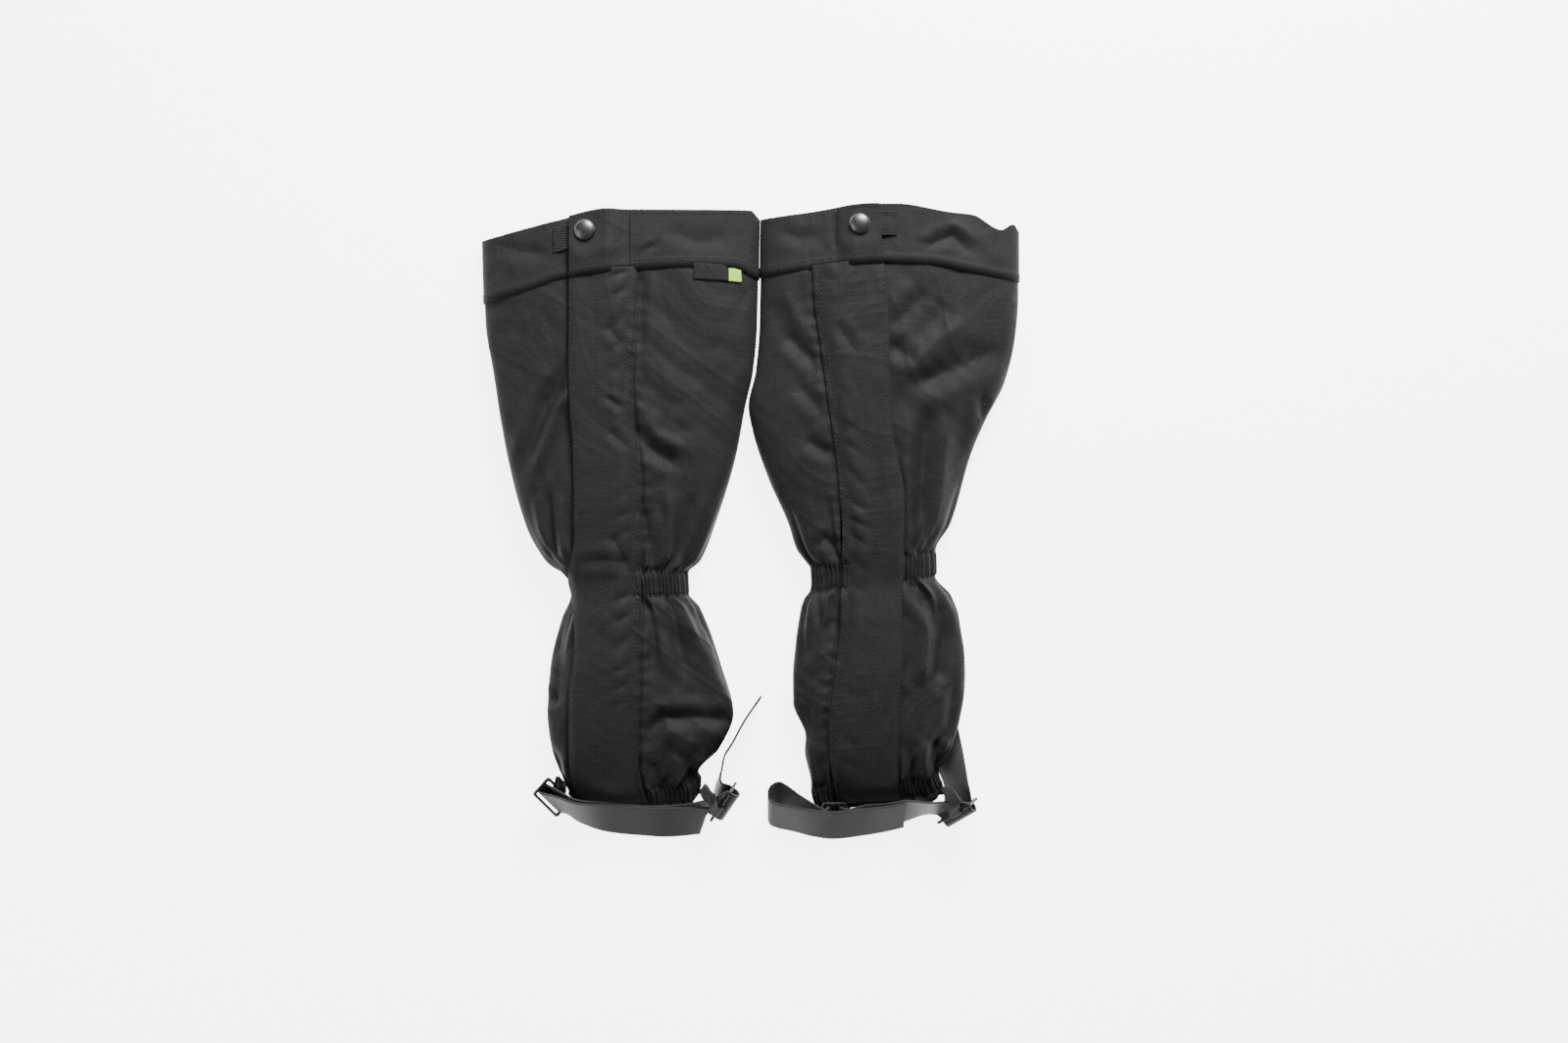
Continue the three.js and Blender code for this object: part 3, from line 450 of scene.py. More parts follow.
def puckers(g, t, y):
    """Slanting wrinkles drawn up by the seam, between it and the tape's stitching."""
    drift = 1.7 * np.sin(y / 23 + g["seed"]) + 1.1 * np.sin(y / 9.5)
    wave = np.cos(TURN * (y + 26 * t) / 17 + drift)
    strength = 0.55 + 0.45 * np.sin(y / 37 + 2 * g["seed"])
    return 0.75 * strength * np.exp(-((t - 0.24) / 0.15) ** 2) * (wave - 0.4 * wave ** 2)


def cuff_relief(g, x, y, level, way):
    """The same for the cuff's doubled cloth, which follows the shell at their seam."""
    below, _ = relief(g, x, y, np.minimum(level, 2.0), way)
    loose = fold_height(g["cuff_folds"], x, y) + 0.55 * ripple(x, y, g["seed"] + 3)
    return mix(0.35 * below, loose, smooth((level - 2) / 0.35)) * (1 - near_snap(g, x, y))


def cuff_hem(level):
    """The turned edge of the cuff stands a little prouder."""
    return 0.35 * smooth((2.06 - level) / 0.05)


def shell_points(g, angle, level, lift=0.0, cuff=False):
    """Points of the outer face of the shell, or of the cuff."""
    points, out = out_of(g, angle, level)
    x, y = points[..., 0] - SHIFT[0], points[..., 1] - SHIFT[1]
    way = np.interp(angle % TURN, TURN_ANGLES, TURN_WAY)
    upper, gathered = relief(g, x, y, np.minimum(level, 2.0), way)
    if cuff:
        upper, gathered = cuff_relief(g, x, y, level, way), 0 * upper
    lower = np.minimum(0.5 * gathered - 0.7, 0)
    turn = smooth(np.abs(np.sin(angle)) / 0.3)
    height = mix(0.35 * gathered, np.where(np.sin(angle) >= 0, upper, lower), turn)
    points = points + out * (height + lift * np.where(np.sin(angle) >= 0, 1, 1 - turn))[..., None]
    points[..., 2] = np.maximum(points[..., 2], 0.5)
    return points


def over_points(g, x_at, level, height):
    """Points over the upper half, where x_at(y) gives x and height(x, y, level, way) the lift."""
    x, y = x_at(level_y(g, 0.5, level)), level_y(g, 0.5, level)
    low, high = creases(g, level)
    for _ in range(5):
        x = x_at(y)
        y = level_y(g, np.clip((x - low) / (high - low), 0, 1), level)
    angle = angle_over(g, x, level)
    points, out = out_of(g, angle, level)
    way = np.interp(angle, TURN_ANGLES, TURN_WAY)
    return points + out * height(x, y, level, way)[..., None]


def flap_points(g, t, level, lift=0.0):
    """The underside of the storm flap, t from its sewn edge to its free one."""
    t, level = np.broadcast_arrays(np.asarray(t, float), np.asarray(level, float))
    free = smooth(t / 0.3)

    def height(x, y, level, way):
        under, _ = relief(g, x, y, level, way)
        waves = fold_height(g["flap_folds"], x, y) + 0.4 * ripple(x, y, g["seed"] + 6)
        own = waves + puckers(g, t, y)
        rest = mix(1.3, FLAP_REST, smooth(level / 0.12))
        droop = 1.2 * smooth((t - 0.9) / 0.1)
        return mix(0.15, rest, free) - droop + mix(under, own, free) + lift
    return over_points(g, lambda y: mix(g["sewn"](y), g["free"](y), t), level, height)


def cuff_end_points(g, t, level, lift=0.0):
    """The underside of the cuff's overlapping end, t from the fold to the free edge."""
    t, level = np.broadcast_arrays(np.asarray(t, float), np.asarray(level, float))
    rise = smooth(t / 0.42)

    def height(x, y, level, way):
        under = cuff_relief(g, x, y, level, way)
        own = 0.6 * under - 0.9 * near_snap(g, x, y)
        rest = mix(4.9, CUFF_END_REST, smooth((level - 2) / 0.3))
        droop = 1.6 * smooth((t - 0.88) / 0.12) * smooth((2.5 - level) / 0.3)
        return mix(-0.5 + cuff_hem(level), rest, rise) - droop + mix(under, own, rise) + lift

    def x_at(y):
        return mix(fold_x(g, y) + 0.6 * g["opens"], g["free"](y), t)
    return over_points(g, x_at, level, height)


# ---- meshes ----
def add_object(name, data):
    """A new object in the scene, around its data."""
    made = bpy.data.objects.new(name, data)
    bpy.context.scene.collection.objects.link(made)
    return made


def finish_mesh(name, bm, body, nodes=(), slot="ripstop", blend=None):
    """Links a built mesh, puts it on its body and names the frame nodes that it stands for."""
    mesh = bpy.data.meshes.new(name)
    bm.to_mesh(mesh)
    bm.free()
    mesh.shade_smooth()
    piece = add_object(name, mesh)
    mesh.materials.append(material(slot))
    if blend:
        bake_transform(piece)
    else:
        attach(piece, body)
    if nodes:
        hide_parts(*nodes)
    return piece


def cloth_grid(points, bm=None):
    """A sheet of quads from the grid operator, laid on points in millimetres, its UVs in metres."""
    rows, columns = points.shape[:2]
    bm = bm or bmesh.new()
    uv = bm.loops.layers.uv.verify()
    made = bmesh.ops.create_grid(bm, x_segments=columns - 1, y_segments=rows - 1, size=0.5)["verts"]
    middle = slice(columns // 2, columns // 2 + 1)
    steps = np.linalg.norm(np.diff(points, axis=1), axis=-1)
    across = np.concatenate([np.zeros((rows, 1)), np.cumsum(steps, axis=1)], axis=1)
    across -= across[:, middle]
    across += points[:, middle, 0]
    steps = np.linalg.norm(np.diff(points, axis=0), axis=-1)
    along = np.concatenate([np.zeros((1, columns)), np.cumsum(steps, axis=0)], axis=0)
    along = mix(along, along[:, middle] * np.ones_like(along), 0.7)
    place = {}
    for v in made:
        i = min(rows - 1, int(round((v.co.y + 0.5) * (rows - 1))))
        j = min(columns - 1, int(round((v.co.x + 0.5) * (columns - 1))))
        v.co = points[i, j] * MM
        place[v] = (across[i, j] * MM, along[i, j] * MM)
    for face in {f for v in made for f in v.link_faces}:
        for loop in face.loops:
            loop[uv].uv = place[loop.vert]
    return bm


def thicken(piece, wall, offset):
    """wall in millimetres; offset -1 grows it inwards, 1 outwards."""
    modifier = piece.modifiers.new("Thickness", "SOLIDIFY")
    modifier.thickness, modifier.offset = wall * MM, offset
    modifier.use_even_offset = False
    return piece


def sheet_piece(name, points, wall, offset, **facts):
    return thicken(finish_mesh(name, cloth_grid(points), **facts), wall, offset)


def bands(first, last, count):
    return np.linspace(first, last, count)


def over_grid(g, first, last, columns, levels):
    """Shares from the sewn edge to the free one, always in the order that faces the cloth upwards."""
    shares = bands(first, last, columns)
    return np.meshgrid(shares[::-g["opens"]], levels)


def angles_between(first, last, count):
    """Angles spread evenly along the cloth from one angle to another, first may be past a turn."""
    way0, way1 = np.interp([first, last], TURN_ANGLES, TURN_WAY)
    return np.interp(np.linspace(way0, way1, count), TURN_WAY, TURN_ANGLES)


def fold_angle(g, level, off):
    """Section angle of the line that runs off millimetres beside the fold."""
    x = crossing(g, lambda y: fold_x(g, y), level) + off * g["opens"]
    return angle_over(g, x, level)


def either_side(g, past, short):
    """Two functions of the level: the angles past the fold and short of it."""
    return (lambda v: fold_angle(g, v, past)), (lambda v: fold_angle(g, v, short))


def right_round(g, past, short):
    """The same for a tube that starts at one of them and goes round to the other."""
    start, stop = either_side(g, past, short)[::g["opens"]]
    return start, lambda v: stop(v) + TURN


def tube_grid(from_angle, to_angle, levels, columns):
    """Angles and levels of a grid whose sides follow two angles that vary with the level."""
    angle = np.stack([angles_between(from_angle(v), to_angle(v), columns) for v in levels])
    return angle, levels[:, None] * np.ones((1, columns))


def through(points, t):
    """A Catmull-Rom line through points, at places t from 0 to 1."""
    p = np.array(points, float)
    place = np.clip(t, 0, 1) * (len(p) - 1)
    i = np.minimum(place.astype(int), len(p) - 2)
    w = (place - i)[:, None]
    p = np.concatenate([[2 * p[0] - p[1]], p, [2 * p[-1] - p[-2]]])
    a, b, c, d = p[i], p[i + 1], p[i + 2], p[i + 3]
    start, end = (c - a) / 2, (d - b) / 2
    cubic, square = 2 * (b - c) + start + end, 3 * (c - b) - 2 * start - end
    return cubic * w ** 3 + square * w ** 2 + start * w + b


def ribbon_points(stations, width, columns, per_span, end_cut=0.0):
    """Middle surface of a flat strap along stations of (centre, direction across it)."""
    spans = len(stations) - 1
    t = np.linspace(0, 1, spans * per_span + 1)
    centre = through([s[0] for s in stations], t)
    across = through([np.array(s[1]) / np.linalg.norm(s[1]) for s in stations], t)
    across /= np.linalg.norm(across, axis=1, keepdims=True)
    heading = np.gradient(centre, axis=0)
    heading /= np.linalg.norm(heading, axis=1, keepdims=True)
    u = np.linspace(-0.5, 0.5, columns)
    cut = end_cut * u[None, :] * np.maximum(0, 1 - t * spans)[:, None]
    return (centre[:, None] + across[:, None] * (u * width)[None, :, None]
            + heading[:, None] * cut[..., None] + SHIFT)


# ---- finishes ----
# name: base colour, thread colour, roughness, thread pitches across and along in mm, share of thread
FINISHES = {
    "ripstop": ((0.0068, 0.0069, 0.0072), (0.026, 0.0262, 0.0268), 0.72, (RIPSTOP_GRID, 1.55), 0.6),
    "elastic": ((0.007, 0.007, 0.0075), (0.022, 0.022, 0.023), 0.8, (1.0, 1.7), 0.9),
    "closure_tape": ((0.006, 0.006, 0.0065), (0.022, 0.022, 0.024), 0.95, (0.9, 0.9), 0.8),
    "anchor_webbing": ((0.008, 0.008, 0.0085), (0.025, 0.025, 0.026), 0.75, (1.1, 1.6), 0.8),
    "strap": ((0.025, 0.0252, 0.0256), (0.037, 0.0373, 0.038), 0.5, (1.4, 0.8), 0.6),
    "label": ((0.005, 0.005, 0.0055), (0.02, 0.02, 0.021), 0.8, (0.7, 0.7), 0.6),
    "label_lime": ((0.27, 0.56, 0.055), (0.36, 0.66, 0.10), 0.75, (0.7, 0.7), 0.6),
    "thread": ((0.012, 0.0122, 0.0125), (0.022, 0.0222, 0.0228), 0.7, None, 0.0),
    "buckle_plastic": ((0.006, 0.006, 0.0065), (0.012, 0.012, 0.012), 0.42, None, 0.0),
    "snap_metal": ((0.085, 0.085, 0.087), (0.12, 0.12, 0.122), 0.34, None, 0.0),
    "hook_wire": ((0.05, 0.05, 0.052), (0.1, 0.1, 0.1), 0.3, None, 0.0),
}
METALS = ("snap_metal", "hook_wire")
CHOSEN = {"ripstop": "cloth_colour", "strap": "strap_colour", "label_lime": "tip_colour"}


def material(name):
    """The procedural finish of that name, made once."""
    title = "gaiter_" + name
    if title in bpy.data.materials:
        return bpy.data.materials[title]
    base, light, roughness, pitches, share = FINISHES[name]
    if name in CHOSEN:
        base = getattr(bpy.context.scene.gaiter_settings, CHOSEN[name])
    made = bpy.data.materials.new(title)
    made.use_nodes = True
    nodes, link = made.node_tree.nodes, made.node_tree.links.new
    shader = nodes["Principled BSDF"]
    shader.inputs["Roughness"].default_value = roughness
    shader.inputs["Metallic"].default_value = 1.0 if name in METALS else 0.0
    if name in ("thread", "buckle_plastic"):
        shader.inputs["Specular IOR Level"].default_value = 0.25
    if pitches:
        shader.inputs["Sheen Weight"].default_value = 0.02
        shader.inputs["Specular IOR Level"].default_value = 0.16
        shader.inputs["Sheen Roughness"].default_value = 0.5

    def math_node(operation, a, b=None):
        node = nodes.new("ShaderNodeMath")
        node.operation = operation
        for socket, value in zip(node.inputs, (a, b)):
            if isinstance(value, (int, float)):
                socket.default_value = value
            elif value is not None:
                link(value, socket)
        return node.outputs[0]

    where = nodes.new("ShaderNodeTexCoord").outputs["Object"]
    speckle = nodes.new("ShaderNodeTexNoise")
    speckle.inputs["Scale"].default_value = 900 if pitches else 260
    speckle.inputs["Detail"].default_value = 2
    link(where, speckle.inputs["Vector"])
    amount = math_node("MULTIPLY", speckle.outputs["Fac"], 0.5)
    if pitches:
        cloth = nodes.new("ShaderNodeUVMap")
        split = nodes.new("ShaderNodeSeparateXYZ")
        link(cloth.outputs["UV"], split.inputs[0])
        threads = []
        for socket, pitch in zip(split.outputs, pitches):
            swing = math_node("PINGPONG", math_node("MULTIPLY", socket, 1000 / pitch), 0.5)
            width = 0.16 if pitch > 2 else 0.3
            line = math_node("SUBTRACT", 1, math_node("DIVIDE", swing, width))
            threads.append(math_node("MAXIMUM", line, 0))
        if name == "ripstop":
            along = math_node("MULTIPLY", split.outputs[1], 1000 / RIPSTOP_GRID)
            swing = math_node("PINGPONG", along, 0.5)
            line = math_node("SUBTRACT", 1, math_node("DIVIDE", swing, 0.12))
            threads.append(math_node("MAXIMUM", line, 0))
            worn = nodes.new("ShaderNodeTexNoise")
            worn.inputs["Scale"].default_value = 160
            link(where, worn.inputs["Vector"])
            patchy = math_node("MULTIPLY", math_node("SUBTRACT", worn.outputs["Fac"], 0.25), 1.5)
            threads = [math_node("MULTIPLY", math_node("MULTIPLY", thread, patchy), much)
                       for thread, much in zip(threads, (0.45, 0.85, 1.0))]
        woven = threads[0]
        for thread in threads[1:]:
            woven = math_node("MAXIMUM", woven, thread)
        woven = math_node("MULTIPLY", woven, share)
        amount = math_node("ADD", woven, math_node("MULTIPLY", amount, 0.6))
    blend = nodes.new("ShaderNodeMix")
    blend.data_type = "RGBA"
    link(math_node("MINIMUM", amount, 1), blend.inputs["Factor"])
    blend.inputs[6].default_value = (*base, 1)
    blend.inputs[7].default_value = (*light, 1)
    link(blend.outputs[2], shader.inputs["Base Color"])
    bump = nodes.new("ShaderNodeBump")
    bump.inputs["Strength"].default_value = 0.5 if pitches else 0.12
    bump.inputs["Distance"].default_value = 0.00025
    link(amount, bump.inputs["Height"])
    link(bump.outputs["Normal"], shader.inputs["Normal"])
    return made


# ---- pieces ----
FOLD_EDGES = (0.6, -1.2)       # how far past and short of the fold the cloth either side of it ends


def flap_blend(side):
    """The cloth turns from the gaiter to the flap over the first centimetre past the fold."""
    g = GAITERS[side]
    x = fold_x(g, 10) - 1.0 * g["opens"]
    start, end = (tuple((np.array([at, 10, 36]) + SHIFT) * MM) for at in (x, x - 9 * g["opens"]))
    return f"{side}_gaiter", f"{side}_flap", start, end


def build_shell(side, columns, rows, wall):
    g, body = GAITERS[side], f"{side}_gaiter"
    levels = bands(g["reach"], 1.99, rows)
    past, short = either_side(g, *FOLD_EDGES)
    left, right = (lambda v: 0.0), (lambda v: math.pi)
    parts = {
        "rear": (right, lambda v: TURN),
        "front": (past, right) if g["opens"] > 0 else (left, past),
        "underlap": (left, short) if g["opens"] > 0 else (short, right),
    }
    for part, (first, last) in parts.items():
        angle, level = tube_grid(first, last, levels, columns // 2)
        sheet_piece(f"{side}_{part}_cloth", shell_points(g, angle, level), wall / MM, -1,
                    body=body, nodes=[f"{side}_{part}_panel"])


def build_cuff(side, columns, rows):
    g = GAITERS[side]
    levels = bands(1.975, 3, rows)
    angle, level = tube_grid(*right_round(g, *FOLD_EDGES), levels, columns)
    points = shell_points(g, angle, level, 0.7 + cuff_hem(level), cuff=True)
    sheet_piece(f"{side}_cuff_cloth", points, 1.5, -1,
                body=f"{side}_gaiter", nodes=[f"{side}_cuff_band"])
    t, level = over_grid(g, 0, 1, columns // 3, levels)
    sheet_piece(f"{side}_cuff_end_cloth", cuff_end_points(g, t, level), 1.2, 1,
                body=None, nodes=[f"{side}_cuff_flap_end"], blend=flap_blend(side))


def build_flap(side, columns, rows):
    g = GAITERS[side]
    t, level = over_grid(g, 0, 1, columns, bands(-0.014, 1.985, rows))
    piece = sheet_piece(f"{side}_flap_cloth", flap_points(g, t, level), 0.9, 1,
                        body=None, nodes=[f"{side}_storm_flap"], blend=flap_blend(side))


def build_tapes(side):
    g = GAITERS[side]
    t, level = over_grid(g, 0.36, 0.78, 10, bands(0.13, 1.96, 120))
    hook = flap_points(g, t, level, -0.12)
    sheet_piece(f"{side}_hook_strip", hook, TAPE_WALL, -1, body=f"{side}_flap",
                nodes=[f"{side}_hook_tape"], slot="closure_tape")

    def on_underlap(x, y, level, way):
        return relief(g, x, y, level, way)[0] + TAPE_LIFT

    def x_at(y):
        return mix(g["sewn"](y), g["free"](y), t)
    sheet_piece(f"{side}_loop_strip", over_points(g, x_at, level, on_underlap), TAPE_WALL, 1,
                body=f"{side}_gaiter", nodes=[f"{side}_loop_tape"], slot="closure_tape")


def build_elastics(side):
    g = GAITERS[side]
    edges = right_round(g, 8, -14)
    for part, (low, high) in (("ankle", ANKLE_EDGES), ("hem", (0.012, HEM_TOP))):
        angle, level = tube_grid(*edges, bands(low, high, 9), 300)
        way = np.interp(angle % TURN, TURN_ANGLES, TURN_WAY)
        points, out = out_of(g, angle, level)
        points = points - out * (3.1 + 0.3 * np.cos(TURN * way / 3.2))[..., None]
        sheet_piece(f"{side}_{part}_ribbed_elastic", points, 0.8, -1, body=f"{side}_gaiter",
                    nodes=[f"{side}_{part}_elastic"], slot="elastic")


def seat(side):
    """The snap's place: its axis stands out of the cuff's cloth."""
    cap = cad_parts[f"{side}_snap_cap"]
    points = np.array([v.co for v in cap.data.vertices]) / MM
    middle = points.mean(0)
    axis = np.linalg.eigh(np.cov((points - middle).T))[1][:, 0]
    axis *= np.sign(axis[2])
    foot = middle + axis * (((points - middle) @ axis).max() - 10.0)
    turn = Vector(axis).to_track_quat("Z", "Y").to_matrix().to_4x4()
    return Matrix.Translation(Vector(foot)) @ turn


def turned(name, profile, place, steps=48, **facts):
    """A turned piece: [radius, height] points spun round the place's axis."""
    bm = bmesh.new()
    verts = [bm.verts.new((r, 0, z)) for r, z in profile]
    edges = [bm.edges.new(pair) for pair in zip(verts, verts[1:])]
    bmesh.ops.spin(bm, geom=verts + edges, axis=(0, 0, 1), cent=(0, 0, 0), angle=TURN,
                   steps=steps, use_merge=True)
    bmesh.ops.remove_doubles(bm, verts=bm.verts, dist=1e-4)
    bmesh.ops.recalc_face_normals(bm, faces=bm.faces)
    bm.transform(Matrix.Scale(MM, 4) @ place)
    return finish_mesh(name, bm, **facts)


# piece, frame node, body, and [radius, height] points from the axis round and back
SNAP_PARTS = (
    ("snap_top", "snap_cap", "flap",
     [(0, 9.95), (2.4, 9.85), (4.6, 9.45), (6.0, 8.95), (6.9, 8.35), (7.35, 7.8), (7.5, 7.5), (7.4, 7.3),
      (7.0, 7.2), (2.1, 7.2), (2.1, 5.2), (0, 5.2)]),
    ("snap_ring", "snap_socket", "flap",
     [(3.1, 3.6), (5.2, 3.6), (5.5, 3.8), (5.6, 4.1), (5.6, 4.9), (5.5, 5.05), (3.1, 5.05), (3.1, 3.6)]),
    ("snap_knob", "snap_stud", "gaiter",
     [(0, 2.8), (5.6, 2.8), (5.6, 3.25), (5.3, 3.4), (2.4, 3.45), (2.3, 3.9), (2.55, 4.3), (2.2, 4.75),
      (1.2, 4.85), (0, 4.85)]),
    ("snap_foot", "snap_post", "gaiter",
     [(0, 0.75), (5.5, 0.75), (5.6, 0.9), (5.5, 1.15), (2.1, 1.2), (2.1, 2.65), (0, 2.65)]),
)


def build_snap(side):
    place = seat(side)
    for piece, node, body, profile in SNAP_PARTS:
        turned(f"{side}_{piece}", profile, place, body=f"{side}_{body}", nodes=[f"{side}_{node}"],
               slot="snap_metal")


def build_tab(side):
    g = GAITERS[side]
    inner, outer = g["snap"][0] + 9 * g["opens"], g["tab"]
    ends = sorted((inner, outer))
    middle, half = 2.62, 9 / 38
    u, level = np.meshgrid(bands(*ends, 60), bands(middle - half, middle + half, 44))

    def height(x, y, level, way):
        rib = 0.22 * np.cos(TURN * (y - g["snap"][1]) / 1.7)
        return (cuff_relief(g, x, y, level, way) + 0.75
                + mix(0.25, 1.5, smooth(np.abs(x - outer) / 12)) + rib)
    sheet_piece(f"{side}_ribbed_tab", over_points(g, lambda y: u, level, height), 0.8, 1,
                body=f"{side}_gaiter", nodes=[f"{side}_elastic_tab"], slot="elastic")


def build_label():
    g = GAITERS["left"]

    def strip(name, x0, x1, node, slot):
        u, v = np.meshgrid(bands(x0, x1, 24), bands(0, 1, 12))
        y = mix(170.6, 181.8, v) - (u + 23) * 0.06
        left, right = -190, 6
        level = 2 - (g["seam"]((u - left) / (right - left)) - y) / ABOVE

        def height(x, y, level, way):
            return relief(g, x, y, level, way)[0] + 0.35
        points = over_points(g, lambda _: u, level, height)
        sheet_piece(name, points, 0.7, 1, body="left_gaiter", nodes=[node], slot=slot)
    strip("left_plain_label", -40, -15.4, "left_side_label", "label")
    strip("left_lime_tip", -15.3, -6.6, "left_label_end", "label_lime")


def tube_mesh(path, radius, ring=12):
    """A round wire along points in millimetres."""
    path = np.array(path, float)
    heading = np.gradient(path, axis=0)
    heading /= np.linalg.norm(heading, axis=1, keepdims=True)
    side = np.cross(heading, (0.05, 0.1, 1.0))
    side /= np.linalg.norm(side, axis=1, keepdims=True)
    up = np.cross(side, heading)
    angle = np.linspace(0, TURN, ring + 1)
    points = (path[:, None] + radius * (np.cos(angle)[None, :, None] * side[:, None]
                                        + np.sin(angle)[None, :, None] * up[:, None]))
    bm = cloth_grid(points)
    bmesh.ops.remove_doubles(bm, verts=bm.verts, dist=1e-6)
    bmesh.ops.holes_fill(bm, edges=[e for e in bm.edges if e.is_boundary])
    bmesh.ops.recalc_face_normals(bm, faces=bm.faces)
    return bm


def build_hook(side, x, y, z):
    half = 7.5
    prong = [(4, 11, 0), (5.5, 6, 0), (half, 0, 0), (half, -4.5, 0), (half, -6, 1.2), (half, -5.4, 2.6),
             (half, -3, 3)]
    path = [(-a, b, c) for a, b, c in reversed(prong)] + prong
    path = through(path, np.linspace(0, 1, 90)) + np.array([x, y, z]) + SHIFT
    finish_mesh(f"{side}_wire_hook", tube_mesh(path, 1.0), f"{side}_gaiter", [f"{side}_lace_hook"],
                "hook_wire")


# ---- the instep straps and their buckles ----
LONG, SHORT, WALL, BAR = 31.0, 17.0, 2.0, 2.2      # a buckle's length, width, wall and bars
SLOT_HALF = 13.4                                    # half a slot's length
PITCH = BAR + (SHORT - 3 * BAR) / 2                 # from one bar's middle to the next


class Buckle:
    """A buckle's place: its centre, the direction of its bars and the one towards its webbing."""

    def __init__(self, centre, bars, towards_web):
        self.centre = np.array(centre, float)
        self.along = np.array(bars) / np.linalg.norm(bars)
        held = np.array(towards_web) - np.dot(towards_web, self.along) * self.along
        self.held = held / np.linalg.norm(held)
        self.face = np.cross(self.along, self.held)

    def at(self, held, face, along=0.0):
        return self.centre + self.held * held + self.face * face + self.along * along

    def turn(self, first, reach):
        """The strap's turn round the middle bar: in by one slot and out by the other."""
        lead = -1.5 * math.copysign(1, reach)
        bend = [(1, lead), (0.97, reach * 0.35), (0.7, reach * 0.8), (0, reach), (-0.7, reach * 0.8),
                (-0.97, reach * 0.35), (-1, lead)]
        return [(self.at(PITCH / 2 * first * held, face), self.along) for held, face in bend]


def build_buckle(name, buckle, body, node):
    """A flat frame with two slots, its corners and rims rounded."""
    bm = bmesh.new()
    xs = [-LONG / 2, -SLOT_HALF, SLOT_HALF, LONG / 2]
    ys = [-SHORT / 2, -PITCH + BAR / 2, -BAR / 2, BAR / 2, PITCH - BAR / 2, SHORT / 2]
    bmesh.ops.create_grid(bm, x_segments=3, y_segments=5, size=0.5)
    for v in bm.verts:
        v.co = (xs[round((v.co.x + 0.5) * 3)], ys[round((v.co.y + 0.5) * 5)], -WALL / 2)
    slots = [f for f in bm.faces if abs(f.calc_center_median().x) < 1
             and 1 < abs(f.calc_center_median().y) < SHORT / 2 - BAR]
    bmesh.ops.delete(bm, geom=slots, context="FACES")
    top = bmesh.ops.extrude_face_region(bm, geom=bm.faces[:])["geom"]
    raised = [v for v in top if isinstance(v, bmesh.types.BMVert)]
    bmesh.ops.translate(bm, vec=(0, 0, WALL), verts=raised)
    bmesh.ops.recalc_face_normals(bm, faces=bm.faces)

    def upright(e):
        return abs((e.verts[0].co - e.verts[1].co).normalized().z) > 0.9

    def at_side(e):
        return abs(abs(e.verts[0].co.x) - LONG / 2) < 0.01

    def at_end(e):
        return abs(abs(e.verts[0].co.y) - SHORT / 2) < 0.01

    def rounded(edges, offset, segments):
        bmesh.ops.bevel(bm, geom=edges, offset=offset, segments=segments, profile=0.5, affect="EDGES",
                        material=-1)
    for outside, size in ((True, 2.6), (False, 1.1)):
        rounded([e for e in bm.edges if upright(e) and at_side(e) == outside
                 and (not outside or at_end(e)) and e.calc_face_angle(0) > 0.5], size, 4)
    rounded([e for e in bm.edges if e.calc_face_angle(0) > 1.0 and not upright(e)], 0.6, 3)
    basis = np.stack([buckle.along, buckle.held, buckle.face], 1)
    place = Matrix(basis.tolist()).to_4x4()
    place.translation = Vector(buckle.centre + SHIFT)
    bm.transform(Matrix.Scale(MM, 4) @ place)
    piece = finish_mesh(name, bm, body, [node], "buckle_plastic")
    piece.data.set_sharp_from_angle(angle=math.radians(40))
    return piece


def build_web(name, buckle, body, node, hem, over=(), slide=0.0, width=10.0):
    """Webbing from the hem, over further points, round the buckle's outer bar and back."""
    bar = buckle.at(PITCH, 0, slide)
    pull = np.array(over[-1] if over else hem, float) - bar
    pull -= buckle.along * pull.dot(buckle.along)
    pull /= np.linalg.norm(pull)
    off = np.cross(buckle.along, pull)
    throat = bar + pull * 3.6
    path = [np.array(p, float) for p in (hem, *over)] + [throat]

    def way(sign):
        stations = []
        for i, point in enumerate(path):
            heading = (path[i + 1] if i + 1 < len(path) else bar) - path[max(i - 1, 0)]
            side = np.cross(heading, buckle.along)
            side /= np.linalg.norm(side)
            apart = 1.6 if point is throat else 0.8
            stations.append((point + side * sign * apart, buckle.along))
        return stations
    loop = [(bar + 2.1 * (off * math.cos(a) - pull * math.sin(a)), buckle.along)
            for a in np.linspace(0, math.pi, 5)]
    points = ribbon_points([*way(1), *loop, *way(-1)[::-1]], width, 9, 8)
    sheet_piece(name, points, 0.85, 0, body=body, nodes=[node], slot="anchor_webbing")


def build_strap(name, stations, body, node, end_cut=0.0):
    points = ribbon_points(stations, 25.0, 26, 9, end_cut)
    sheet_piece(name, points, 1.3, 0, body=body, nodes=[node], slot="strap")


